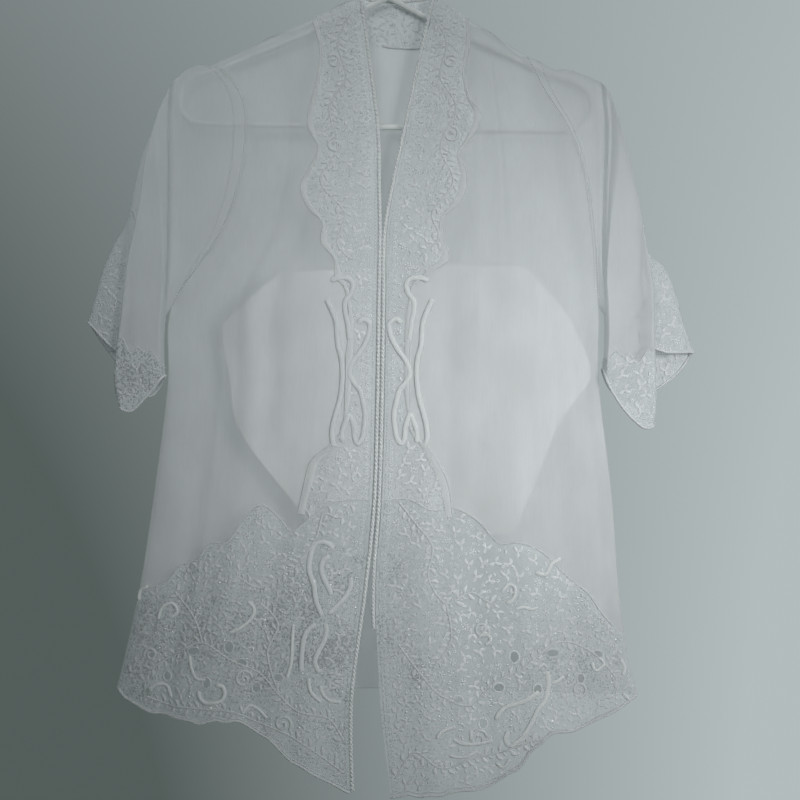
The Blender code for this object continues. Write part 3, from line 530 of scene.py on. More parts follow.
def sleeve_ring(side, band, step):
    """One closed ring of a sleeve: front layer, tuck and back layer."""
    shares = [(i / (SLEEVE_COLUMNS - 1)) for i in range(SLEEVE_COLUMNS - 1)]
    front = [sleeve_layer(side, "front", share, band, step) for share in shares]
    back = [sleeve_layer(side, "back", share, band, step) for share in reversed(shares)]
    return front + tuck_points(side, band, step) + back


def dip_fold(side, share, distance):
    """How far the folds under the hanger's end stand out, at a distance across from their line."""
    total = sum(height * math.exp(-((distance - place) / width) ** 2) for place, width, height in DIP_FOLDS[side])
    return total * smooth(share * 7.0) * smooth((1.0 - share) * 9.0)


def openness_and_light(side, x, z):
    """How open the needlework is at x and z in mm, with the painted light and shade laid on it: above 0 lighter, below
    0 darker.
    """
    return sum(
        tone * np.exp(-((x - across) / wide) ** 2 - ((z - level) / high) ** 2)
        for across, level, wide, high, tone in LIGHT_AND_OPENNESS_ZONES[side]
    )


def through_points(points, step):
    """Points about a step apart on the smooth curve through some points."""
    line = []
    for index, (here, there) in enumerate(zip(points, points[1:])):
        count = max(2, round(math.dist(here, there) / step))
        line += [through(points, index + i / count) for i in range(count)]
    return line + [list(points[-1])]


def outline_at(points, across):
    """The outline's other coordinate as a function: of x where across is true, else of z."""
    line = np.array(through_points(points, 2.0))
    keys, values = (line[:, 0], line[:, 1]) if across else (line[:, 1], line[:, 0])
    order = np.argsort(keys)
    keys, values = keys[order], values[order]
    return lambda key: np.interp(key, keys, values)


class Cloth:
    """A dense sheet through rows of points in mm, and the places on it."""

    def __init__(self, rows, turn, closed=False):
        self.points = np.array([[tuple(point) for point in row] for row in rows]) * MM
        self.closed = closed
        wide = self.points
        if closed:
            wide = np.concatenate([wide[:, -1:], wide, wide[:, :1]], axis=1)
        across = np.gradient(wide, axis=1)
        down = np.gradient(wide, axis=0)
        normals = np.cross(across, down) * turn
        lengths = np.linalg.norm(normals, axis=2, keepdims=True)
        normals = normals / np.maximum(lengths, 1e-12)
        self.normals = normals[:, 1:-1] if closed else normals

    def at(self, row, column, height=0.0):
        """Points at fractional rows and columns, moved out by a height in mm."""
        row, column = np.broadcast_arrays(np.asarray(row, float), np.asarray(column, float))
        r = np.clip(row.astype(int), 0, self.points.shape[0] - 2)
        c = np.clip(column.astype(int), 0, self.points.shape[1] - (1 if self.closed else 2))
        other = (c + 1) % self.points.shape[1]
        t, u = (row - r)[..., None], (column - c)[..., None]

        def blend(grid):
            upper = grid[r, c] * (1 - u) + grid[r, other] * u
            lower = grid[r + 1, c] * (1 - u) + grid[r + 1, other] * u
            return upper * (1 - t) + lower * t

        return blend(self.points) + blend(self.normals) * height * MM

    def faces(self):
        """The sheet's four-cornered faces, as rows of point numbers."""
        rows, columns = self.points.shape[:2]
        numbers = np.arange(rows * columns).reshape(rows, columns)
        if self.closed:
            numbers = np.concatenate([numbers, numbers[:, :1]], axis=1)
        return np.stack([numbers[:-1, :-1], numbers[:-1, 1:], numbers[1:, 1:], numbers[1:, :-1]], axis=-1).reshape(-1, 4)

    def tree(self):
        return BVHTree.FromPolygons(self.points.reshape(-1, 3).tolist(), self.faces().tolist())


def add_piece(name, points, faces, material, uvs=None):
    """A smooth mesh piece that rides on the blouse; uvs has a row for each point."""
    mesh = bpy.data.meshes.new(name)
    mesh.from_pydata([tuple(p) for p in points], [], [tuple(f) for f in faces])
    mesh.validate()
    if uvs is not None:
        layer = mesh.uv_layers.new(name="thread")
        corners = np.zeros(len(mesh.loops), dtype=np.int32)
        mesh.loops.foreach_get("vertex_index", corners)
        layer.data.foreach_set("uv", np.asarray(uvs, dtype=np.float32)[corners].ravel())
    mesh.shade_smooth()
    mesh.materials.append(material)
    piece = bpy.data.objects.new(name, mesh)
    bpy.context.scene.collection.objects.link(piece)
    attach(piece, BODY)
    return piece


def declare(width, length):
    """Turns a sheet's width and length in mm into metres and keeps neither."""
    width, length = width * MM, length * MM


def cloth_piece(name, cloth, material, holes=()):
    """The whole sheet as a piece, with oval holes cut through it."""
    points = cloth.points.reshape(-1, 3).copy()
    faces = cloth.faces()
    for x, z, width, height in holes:
        centres = points[faces].mean(axis=1)
        inside = ((centres[:, 0] / MM - x) / width) ** 2 + ((centres[:, 2] / MM - z) / height) ** 2 < 1.0
        faces = faces[~inside]
        across = points[:, 0] / MM - x
        up = points[:, 2] / MM - z
        share = np.sqrt((across / width) ** 2 + (up / height) ** 2)
        rim = (share < 1.0) & (share > 0.2)
        points[rim, 0] = (x + across[rim] / share[rim]) * MM
        points[rim, 2] = (z + up[rim] / share[rim]) * MM
    used, numbers = np.unique(faces, return_inverse=True)
    return add_piece(name, points[used], numbers.reshape(-1, 4), material)


def tone_ground(piece, side):
    """Writes how open the needlework is at each point of a border, with the zones' painted light and shade."""
    tone = piece.data.attributes.new("openness_and_light", "FLOAT", "POINT")
    places = np.array([point.co[:] for point in piece.data.vertices]) / MM
    tone.data.foreach_set("value", openness_and_light(side, places[:, 0], places[:, 2]).astype(np.float32))


def strip(cloth, rows, columns, height, turn=1):
    """A sheet over part of another one: rows and columns are grids of places on it."""
    made = Cloth.__new__(Cloth)
    made.closed = False
    made.points = cloth.at(rows, columns, height)
    across = np.gradient(made.points, axis=1)
    down = np.gradient(made.points, axis=0)
    normals = np.cross(across, down) * turn
    made.normals = normals / np.maximum(np.linalg.norm(normals, axis=2, keepdims=True), 1e-12)
    return made


def tube_rings(path, radius, sides=8, ends=0.25, flatten=1.0, facing=(0.0, -1.0, 0.0)):
    """Points, faces and thread places of a round cord along a path in metres."""
    path = np.asarray(path, float)
    count = len(path)
    along = np.gradient(path, axis=0)
    along /= np.maximum(np.linalg.norm(along, axis=1, keepdims=True), 1e-12)
    side = np.cross(along, np.asarray(facing))
    side /= np.maximum(np.linalg.norm(side, axis=1, keepdims=True), 1e-9)
    out = np.cross(side, along)
    angles = np.arange(sides) * 2 * math.pi / sides
    size = np.full(count, radius * MM)
    size[0] *= ends
    size[-1] *= ends
    ring = (side[:, None] * np.cos(angles)[None, :, None] + out[:, None] * np.sin(angles)[None, :, None] * flatten)
    points = path[:, None] + ring * size[:, None, None]
    run = np.concatenate([[0.0], np.cumsum(np.linalg.norm(np.diff(path, axis=0), axis=1))]) / MM
    uvs = np.stack(np.broadcast_arrays(run[:, None], angles[None, :] * radius), axis=-1)
    numbers = np.arange(count * sides).reshape(count, sides)
    wrapped = np.concatenate([numbers, numbers[:, :1]], axis=1)
    faces = np.stack([wrapped[:-1, :-1], wrapped[:-1, 1:], wrapped[1:, 1:], wrapped[1:, :-1]], axis=-1)
    return points.reshape(-1, 3), faces.reshape(-1, 4), uvs.reshape(-1, 2)


class Bundle:
    """Many small meshes gathered into one piece."""

    def __init__(self):
        self.points, self.faces, self.uvs, self.count = [], [], [], 0

    def add(self, points, faces, uvs):
        self.points.append(np.asarray(points, float))
        self.faces += [tuple(int(n) + self.count for n in face) for face in faces]
        self.uvs.append(np.asarray(uvs, float))
        self.count += len(points)

    def piece(self, name, material, slot):
        return add_piece(name, np.concatenate(self.points), self.faces, material, np.concatenate(self.uvs))


class Needle(Bundle):
    """Raised needlework laid on a cloth, seen from way -1, the front, or 1, the back."""

    def __init__(self, tree, way=-1):
        super().__init__()
        self.tree, self.way = tree, way
        self.taken = {}

    def on(self, x, z, height):
        """The place over the cloth at x and z in mm, or None past its edge."""
        start = Vector((x * MM, self.way * 0.3, z * MM))
        place = self.tree.ray_cast(start, Vector((0.0, -self.way, 0.0)))[0]
        if place is not None:
            place.y += self.way * height * MM
        return place

    def lay(self, grid):
        """Adds a patch through rows of x, z, height, u and v, unless it leaves the cloth."""
        points = [self.on(x, z, height) for row in grid for x, z, height, _, _ in row]
        if any(point is None for point in points):
            return False
        depths = [point.y for point in points]
        if max(depths) - min(depths) > 8.0 * MM:
            return False
        columns = len(grid[0])
        faces = [
            (r * columns + c, r * columns + c + 1, (r + 1) * columns + c + 1, (r + 1) * columns + c)
            for r in range(len(grid) - 1) for c in range(columns - 1)
        ]
        self.add(points, faces, [(u, v) for row in grid for _, _, _, u, v in row])
        return True

    def leaf(self, x, z, length, width, angle, height=0.6, bend=0.0):
        """A satin-stitched leaf from its root at x and z."""
        grid = []
        cosine, sine = math.cos(angle), math.sin(angle)
        for i in range(8):
            t = i / 7.0
            half = 0.5 * width * math.sin(math.pi * (0.04 + 0.92 * t)) ** 0.8
            shift = bend * length * math.sin(math.pi * t)
            row = []
            for v in (-1.0, -0.55, 0.0, 0.55, 1.0):
                a, b = length * t, shift + half * v
                crown = math.sqrt(1.0 - v * v) * math.sin(math.pi * (0.08 + 0.84 * t)) ** 0.5
                row.append((x + a * cosine - b * sine, z + a * sine + b * cosine,
                            STITCH_LIFT + height * crown, a + 0.4 * b, b))
            grid.append(row)
        return self.lay(grid)

    def dot(self, x, z, radius, height=0.6):
        """A small knot of thread."""
        sides = 6
        centre = self.on(x, z, STITCH_LIFT + height)
        ring = [
            self.on(x + radius * math.cos(a), z + radius * math.sin(a), STITCH_LIFT)
            for a in (2 * math.pi * i / sides for i in range(sides))
        ]
        if centre is None or any(point is None for point in ring):
            return
        faces = [(0, 1 + i, 1 + (i + 1) % sides) for i in range(sides)]
        uvs = [(0.0, 0.0)] + [(radius, radius * i) for i in range(sides)]
        self.add([centre] + ring, faces, uvs)

    def ring(self, x, z, wide, high, border, height=0.7, sides=14):
        """A satin-stitched ring round an eyelet or a hole."""
        grid = []
        for i in range(sides + 1):
            a = 2 * math.pi * i / sides
            row = []
            for v in (0.0, 0.5, 1.0):
                crown = math.sin(math.pi * v) * height
                row.append((x + (wide + border * v) * math.cos(a), z + (high + border * v) * math.sin(a),
                            STITCH_LIFT + crown, a * wide, border * v))
            grid.append(row)
        return self.lay(grid)

    def flower(self, x, z, size, petals=5, phase=0.3, height=1.0):
        """Petals round an eyelet, with a knot at each petal's root."""
        for i in range(petals):
            a = phase + 2 * math.pi * i / petals
            root = 0.26 * size
            self.leaf(x + root * math.cos(a), z + root * math.sin(a), 0.78 * size, 0.62 * size, a, height)
            self.dot(x + 1.14 * size * math.cos(a + math.pi / petals),
                     z + 1.14 * size * math.sin(a + math.pi / petals), 0.6)
        self.ring(x, z, 0.06 * size, 0.06 * size, 0.16 * size, 1.2)

    def cord(self, points, radius, sides=6, ends=0.3, flatten=1.0):
        """A couched cord through x and z in mm."""
        path = [self.on(x, z, STITCH_LIFT + 0.35 * radius * flatten) for x, z in through_points(points, 1.6)]
        runs, run = [], []
        for place in path:
            if place is not None and (not run or abs(place.y - run[-1].y) < 4.0 * MM):
                run.append(place)
            elif run:
                runs.append(run)
                run = [place] if place is not None else []
        for run in runs + [run]:
            if len(run) > 3:
                self.add(*tube_rings(run, radius, sides, ends, flatten, (0.0, float(self.way), 0.0)))

    def curl(self, curl, radius):
        """A flat spiral that unwinds from its eye."""
        steps = 11
        points = []
        for i in range(steps + 1):
            t = i / steps
            a = math.radians(curl.angle) + curl.turns * 2 * math.pi * t
            r = curl.size * (0.18 + 0.82 * t ** 0.9)
            points.append((curl.x + r * math.cos(a), curl.z + r * math.sin(a)))
        self.cord(points, radius, 8, 0.2, 0.6)

    def vine(self, points, cords, inside, size):
        """A couched stem with satin leaves in turn on both sides."""
        line = through_points(points, 3.4)
        cords.cord(points, STEM_CORD, 8, 0.3, 0.6)
        for i in range(1, len(line) - 1):
            (x, z), (ahead_x, ahead_z) = line[i], line[i + 1]
            way = math.atan2(ahead_z - z, ahead_x - x)
            turn = way + (0.9 if i % 2 else -0.9)
            length = size * (0.75 + 0.25 * math.sin(i * 1.7))
            middle_x, middle_z = x + 0.55 * length * math.cos(turn), z + 0.55 * length * math.sin(turn)
            if inside(middle_x, middle_z, 2.0) and self.free(middle_x, middle_z, 0.36 * length):
                self.leaf(x + 1.1 * math.cos(turn), z + 1.1 * math.sin(turn), length, 0.5 * length, turn, 0.9,
                          0.14 if i % 2 else -0.14)

    def free(self, x, z, radius):
        """Whether a round place is still bare; it is taken if so."""
        reach = math.ceil((radius + 14.0) / 8.0)
        column, row = int(x // 8.0), int(z // 8.0)
        for i in range(column - reach, column + reach + 1):
            for j in range(row - reach, row + reach + 1):
                for other_x, other_z, other in self.taken.get((i, j), ()):
                    if (other_x - x) ** 2 + (other_z - z) ** 2 < (other + radius) ** 2:
                        return False
        self.taken.setdefault((column, row), []).append((x, z, radius))
        return True


def fill(needle, knots, inside, box, draw, side=None):
    """Fills a region with leaf pairs, small flowers, eyelets and, where the work is close, knots."""
    low_x, high_x, low_z, high_z = box
    area = (high_x - low_x) * (high_z - low_z)
    kinds = (("spray", 5.2, 90.0), ("blossom", 4.4, 140.0), ("eyelet", 2.1, 70.0), ("leaf", 2.4, 60.0))
    for kind, room, spread in kinds:
        for _ in range(int(area / spread)):
            x, z = draw.uniform(low_x, high_x), draw.uniform(low_z, high_z)
            turn = draw.uniform(0.0, 2 * math.pi)
            if not inside(x, z, room) or not needle.free(x, z, room):
                continue
            if kind == "spray":
                flow = math.sin(x * 0.05) + math.cos(z * 0.04) + turn * 0.25
                needle.leaf(x, z, 7.0, 3.4, flow + 0.6, 0.55, 0.12)
                needle.leaf(x, z, 7.0, 3.4, flow - 0.6, 0.55, -0.12)
                needle.leaf(x, z, 6.0, 3.0, flow + math.pi, 0.55, 0.1)
            elif kind == "blossom":
                needle.flower(x, z, 3.6, 5, turn, 0.5)
            elif kind == "eyelet":
                needle.ring(x, z, 0.8, 0.8, 0.9, 0.45, 9)
            else:
                needle.leaf(x - 2.2 * math.cos(turn), z - 2.2 * math.sin(turn), 4.6, 2.4, turn, 0.7)
    spacing = 2.9
    for i in range(int((high_x - low_x) / spacing)):
        for j in range(int((high_z - low_z) / spacing)):
            x = low_x + spacing * (i + 0.5 * (j % 2)) + draw.uniform(-0.4, 0.4)
            z = low_z + spacing * j + draw.uniform(-0.4, 0.4)
            thin = openness_and_light(side, x, z) if side else 0.0
            if draw.random() > 0.8 * thin and inside(x, z, 1.0) and needle.free(x, z, 1.15):
                knots.dot(x, z, draw.uniform(0.6, 0.85), 0.4)


def new_material(name, colour, roughness, alpha=1.0, sheen=0.0, specular=0.3):
    """A Principled material; returns it with its nodes, links and shader."""
    material = bpy.data.materials.new(name)
    material.use_nodes = True
    nodes, links = material.node_tree.nodes, material.node_tree.links
    shader = nodes["Principled BSDF"]
    shader.inputs["Base Color"].default_value = (*colour, 1.0)
    shader.inputs["Roughness"].default_value = roughness
    shader.inputs["Alpha"].default_value = alpha
    shader.inputs["Sheen Weight"].default_value = sheen
    shader.inputs["Specular IOR Level"].default_value = specular
    material.diffuse_color = (*colour, alpha)
    return material, nodes, links, shader


def wave(nodes, links, place, direction, period, distortion=0.0):
    """Even threads a period apart, across one direction of a place socket."""
    made = nodes.new("ShaderNodeTexWave")
    made.bands_direction = direction
    made.inputs["Scale"].default_value = math.pi / (10.0 * period)
    made.inputs["Distortion"].default_value = distortion
    made.inputs["Detail"].default_value = 1.0
    links.new(place, made.inputs["Vector"])
    return made.outputs["Fac"]


def noise(nodes, links, place, scale, detail=3.0):
    made = nodes.new("ShaderNodeTexNoise")
    made.inputs["Scale"].default_value = scale
    made.inputs["Detail"].default_value = detail
    if place is not None:
        links.new(place, made.inputs["Vector"])
    return made.outputs["Fac"]


def stretched(nodes, links, place, scale):
    made = nodes.new("ShaderNodeMapping")
    made.inputs["Scale"].default_value = scale
    links.new(place, made.inputs["Vector"])
    return made.outputs["Vector"]


def combine(nodes, links, kind, first, second):
    made = nodes.new("ShaderNodeMath")
    made.operation = kind
    links.new(first, made.inputs[0])
    if isinstance(second, float):
        made.inputs[1].default_value = second
    else:
        links.new(second, made.inputs[1])
    return made.outputs["Value"]


def ramp(nodes, links, value, low, high, stops=(0.3, 0.7)):
    made = nodes.new("ShaderNodeValToRGB")
    made.color_ramp.elements[0].position = stops[0]
    made.color_ramp.elements[1].position = stops[1]
    made.color_ramp.elements[0].color = (*low, 1.0)
    made.color_ramp.elements[1].color = (*high, 1.0)
    links.new(value, made.inputs["Fac"])
    return made.outputs["Color"]


def bump(nodes, links, shader, height, strength, distance):
    made = nodes.new("ShaderNodeBump")
    made.inputs["Strength"].default_value = strength
    made.inputs["Distance"].default_value = distance
    links.new(height, made.inputs["Height"])
    links.new(made.outputs["Normal"], shader.inputs["Normal"])


def openness_and_light_of(nodes, links, share):
    tone = nodes.new("ShaderNodeAttribute")
    tone.attribute_name = "openness_and_light"
    return combine(nodes, links, "MULTIPLY", tone.outputs["Fac"], share)


def tinted(colour, share):
    return tuple(channel * share for channel in colour)


def voile_material(name, colour, alpha, thread=0.0009, strength=0.35):
    """Sheer plain weave with uneven threads, faint crush marks with painted shade in their hollows, and a soft sheen.
    """
    material, nodes, links, shader = new_material(name, colour, 0.7, alpha, sheen=0.25, specular=0.15)
    place = nodes.new("ShaderNodeTexCoord").outputs["Object"]
    warp = wave(nodes, links, place, "X", thread, 0.4)
    weft = wave(nodes, links, place, "Z", thread * 1.1, 0.4)
    weave = combine(nodes, links, "ADD", warp, weft)
    slubs = noise(nodes, links, stretched(nodes, links, place, (900.0, 900.0, 45.0)), 1.0, 2.0)
    crush = noise(nodes, links, stretched(nodes, links, place, (26.0, 26.0, 15.0)), 1.0, 5.0)
    relief = combine(nodes, links, "ADD", combine(nodes, links, "MULTIPLY", weave, 0.5), slubs)
    relief = combine(nodes, links, "ADD", relief, combine(nodes, links, "MULTIPLY", crush, 4.0))
    bump(nodes, links, shader, relief, strength, 0.0006)
    # The crush noise lightens the colour on its rises and darkens it in its hollows: painted shade of the crush marks.
    # The slubs give the cloth's own uneven tone.
    tone = combine(nodes, links, "ADD", combine(nodes, links, "MULTIPLY", slubs, 0.4), crush)
    links.new(ramp(nodes, links, tone, tinted(colour, 0.93), tinted(colour, 1.03), (0.5, 0.95)), shader.inputs["Base Color"])
    return material


def thread_material(name, colour, roughness, pitch=0.5, slant=0.0, specular=0.5):
    """Satin thread: fine parallel strands across the stitch, or slanted round a cord."""
    material, nodes, links, shader = new_material(name, colour, roughness, sheen=0.2, specular=specular)
    place = nodes.new("ShaderNodeTexCoord").outputs["UV"]
    turned = nodes.new("ShaderNodeMapping")
    turned.inputs["Rotation"].default_value = (0.0, 0.0, slant)
    links.new(place, turned.inputs["Vector"])
    strands = wave(nodes, links, turned.outputs["Vector"], "X", pitch, 0.3)
    fuzz = noise(nodes, links, place, 2.4, 3.0)
    relief = combine(nodes, links, "ADD", strands, combine(nodes, links, "MULTIPLY", fuzz, 0.5))
    bump(nodes, links, shader, relief, 0.6, 0.0003)
    # The strands lighten the colour on their crowns and darken it between them: painted shade between the strands. The
    # fuzz gives uneven tone.
    shade = combine(nodes, links, "ADD", combine(nodes, links, "MULTIPLY", strands, 0.35), fuzz)
    # The zones lighten and darken the thread: more open work, and painted light and shade by place.
    shade = combine(nodes, links, "ADD", shade, openness_and_light_of(nodes, links, 0.5))
    tones = tinted(colour, 0.87), tinted(colour, 1.18)
    links.new(ramp(nodes, links, shade, *tones, (0.35, 1.3)), shader.inputs["Base Color"])
    return material


def ground_material(name, colour, alpha):
    """The close net of stitches that fills an embroidered border between its motifs."""
    material, nodes, links, shader = new_material(name, colour, 0.8, alpha, sheen=0.2, specular=0.1)
    place = nodes.new("ShaderNodeTexCoord").outputs["Object"]
    cells = nodes.new("ShaderNodeTexVoronoi")
    cells.feature = "F1"
    cells.inputs["Scale"].default_value = 420.0
    links.new(place, cells.inputs["Vector"])
    patches = noise(nodes, links, place, 60.0, 4.0)
    bump(nodes, links, shader, cells.outputs["Distance"], 0.5, 0.0008)
    # The cells darken the colour where the bump sinks at their centres: painted shade in the net's hollows. The patches
    # and noise are the net's uneven tone.
    shade = combine(nodes, links, "ADD", cells.outputs["Distance"], combine(nodes, links, "MULTIPLY", patches, 0.6))
    shade = combine(nodes, links, "ADD", shade, noise(nodes, links, place, 19.0, 2.0))
    # The zones lighten and darken the net: more open work, and painted light and shade by place.
    shade = combine(nodes, links, "ADD", shade, openness_and_light_of(nodes, links, 1.0))
    tones = tinted(colour, 0.7), tinted(colour, 1.5)
    links.new(ramp(nodes, links, shade, *tones, (0.8, 2.5)), shader.inputs["Base Color"])
    return material


def plastic_material(name, colour):
    """White moulded plastic with faint flow marks and dulled scuffs."""
    material, nodes, links, shader = new_material(name, colour, 0.3, specular=0.5)
    place = nodes.new("ShaderNodeTexCoord").outputs["Object"]
    scuffs = noise(nodes, links, place, 180.0, 5.0)
    flow = noise(nodes, links, place, 25.0, 2.0)
    links.new(ramp(nodes, links, flow, tinted(colour, 0.95), colour), shader.inputs["Base Color"])
    dull = nodes.new("ShaderNodeMapRange")
    dull.inputs["To Min"].default_value = 0.22
    dull.inputs["To Max"].default_value = 0.45
    links.new(scuffs, dull.inputs["Value"])
    links.new(dull.outputs["Result"], shader.inputs["Roughness"])
    bump(nodes, links, shader, scuffs, 0.1, 0.0003)
    return material


def sequin_material(name, colour):
    """Small glossy discs, a little uneven in tone."""
    material, nodes, links, shader = new_material(name, colour, 0.15, specular=0.8)
    shader.inputs["Metallic"].default_value = 0.35
    place = nodes.new("ShaderNodeTexCoord").outputs["Object"]
    tone = noise(nodes, links, place, 300.0, 2.0)
    links.new(ramp(nodes, links, tone, tinted(colour, 0.8), colour), shader.inputs["Base Color"])
    return material


VOILE = voile_material("voile", (0.88, 0.905, 0.915), 0.42)
# The back is the same voile as the fronts, its colour painted lighter to keep it bright in the shade the fronts cast on
# it.
LIT_BACK_VOILE = voile_material("back_voile_painted_light", (0.955, 0.98, 0.985), 0.69)
SLEEVE_VOILE = voile_material("sleeve_voile", (0.89, 0.915, 0.925), 0.5)
LINING = voile_material("lining_cloth", (0.97, 0.98, 0.98), 0.86, 0.0007, 0.2)
SEAM = voile_material("seam_allowance", (0.88, 0.90, 0.89), 0.32, 0.0009, 0.3)
GROUND = ground_material("bordir_ground", (0.56, 0.595, 0.605), 0.5)
NECK_GROUND = ground_material("neck_ground", (0.62, 0.65, 0.66), 0.45)
SATIN = thread_material("satin_thread", (0.85, 0.875, 0.885), 0.45, 0.55)
KNOT = thread_material("knot_thread", (0.72, 0.75, 0.765), 0.6, 0.4)
CORD = thread_material("couched_cord", (0.86, 0.885, 0.89), 0.5, 0.5)
RIBBON = thread_material("ribbon_cord", (0.93, 0.955, 0.95), 0.4, 0.6)
# A darker, slightly rougher copy of the ribbon cord for the right front's scrolls: its darker colour is painted shade
# on the side away from the key light.
SHADED_MATT_RIBBON = thread_material("ribbon_cord_matt_shaded", (0.85, 0.88, 0.885), 0.5, 0.6)
BRAID = thread_material("twisted_braid", (0.92, 0.945, 0.94), 0.4, 0.6, 0.5)
SEWING = thread_material("sewing_thread", (0.84, 0.87, 0.86), 0.5, 0.3)
SEQUIN = sequin_material("sequin", (0.90, 0.93, 0.93))
PLASTIC = plastic_material("white_plastic", (0.92, 0.945, 0.93))


def column_reach(cloth, outline, sign):
    """For each row of a front, the column where it passes an outline of x by z."""
    places = []
    for row in cloth.points:
        x, z = row[:, 0] / MM * sign, row[:, 2] / MM
        over = x - outline(z) * sign
        beyond = np.nonzero(over > 0.0)[0]
        c = int(beyond[0]) if len(beyond) else len(x) - 1
        if c == 0:
            places.append(0.0)
        else:
            places.append(c - 1 + float(np.clip(-over[c - 1] / max(over[c] - over[c - 1], 1e-9), 0.0, 1.0)))
    return np.array(places)


def row_start(cloth, outline):
    """For each column of a front, the row where it passes an outline of z by x."""
    places = []
    for column in range(cloth.points.shape[1]):
        x, z = cloth.points[:, column, 0] / MM, cloth.points[:, column, 2] / MM
        over = outline(x) - z
        beyond = np.nonzero(over > 0.0)[0]
        r = int(beyond[0]) if len(beyond) else len(z) - 1
        if r == 0:
            places.append(0.0)
        else:
            places.append(r - 1 + float(np.clip(-over[r - 1] / max(over[r] - over[r - 1], 1e-9), 0.0, 1.0)))
    return np.array(places)


def rope(bundle, path, radius, strand, pitch, facing=(0.0, -1.0, 0.0)):
    """Two strands twisted round each other along a path in metres."""
    path = np.asarray(path, float)
    lengths = np.concatenate([[0.0], np.cumsum(np.linalg.norm(np.diff(path, axis=0), axis=1))])
    count = max(8, int(lengths[-1] / (pitch * MM) * 9))
    places = np.linspace(0.0, lengths[-1], count)
    line = np.stack([np.interp(places, lengths, path[:, k]) for k in range(3)], axis=1)
    along = np.gradient(line, axis=0)
    along /= np.linalg.norm(along, axis=1, keepdims=True)
    side = np.cross(along, np.asarray(facing))
    side /= np.linalg.norm(side, axis=1, keepdims=True)
    out = np.cross(side, along)
    for start in (0.0, math.pi):
        angle = places / (pitch * MM) * 2 * math.pi + start
        twist = side * np.cos(angle)[:, None] + out * np.sin(angle)[:, None]
        bundle.add(*tube_rings(line + twist * (radius - strand) * MM, strand, 7, 0.5))


def stitches(bundle, path, pitch=3.2, length=2.0, radius=0.28):
    """A row of running stitches along a path in metres."""
    path = np.asarray(path, float)
    lengths = np.concatenate([[0.0], np.cumsum(np.linalg.norm(np.diff(path, axis=0), axis=1))])
    for start in np.arange(0.0, lengths[-1] - length * MM, pitch * MM):
        places = start + np.array([0.0, 0.2, 0.5, 0.8, 1.0]) * length * MM
        line = np.stack([np.interp(places, lengths, path[:, k]) for k in range(3)], axis=1)
        bundle.add(*tube_rings(line, radius, 5, 0.3))


def front_cloth(side):
    rows = [
        [front_point(side, j / (FRONT_COLUMNS - 1), HEM_LEVEL * i / (PANEL_ROWS - 1)) for j in range(FRONT_COLUMNS)]
        for i in range(PANEL_ROWS)
    ]
    return Cloth(rows, -SIGN[side])


def level_row(level):
    return level / HEM_LEVEL * (PANEL_ROWS - 1)


def share_column(share):
    return share * (FRONT_COLUMNS - 1)


def build_lining(side, cloth):
    """The inner bust lining behind one front, cut off at its foot in a hem."""
    reach = column_reach(cloth, outline_at(LINING_OUTLINE[side], False), SIGN[side])
    top, foot = LINING_OUTLINE[side][0][1], LINING_FOOT[side]
    heights = cloth.points[:, 0, 2] / MM
    first = float(np.interp(-top, -heights, np.arange(PANEL_ROWS)))
    last = float(np.interp(-foot, -heights, np.arange(PANEL_ROWS)))
    rows = np.linspace(first, last, 90)[:, None]
    limit = np.interp(rows[:, 0], np.arange(PANEL_ROWS), reach)[:, None]
    columns = 0.4 + (limit - 0.4) * np.linspace(0.0, 1.0, 60)[None, :]
    sheet = strip(cloth, rows, columns, INNER_DROP, -SIGN[side])
    piece = cloth_piece(f"lining_cloth_{side}", sheet, LINING)
    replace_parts(piece, f"lining_{side}")
    hem = Bundle()
    edge = np.concatenate([sheet.points[0, 10:], sheet.points[1:, -1]])
    hem.add(*tube_rings(edge[::2], 0.5, 6))
    edge_piece = hem.piece(f"lining_hem_{side}", SEAM, "lining")
    declare(200, 280)


def edge_path(cloth, rows, columns, lift):
    return cloth.at(np.asarray(rows, float), np.asarray(columns, float), lift)


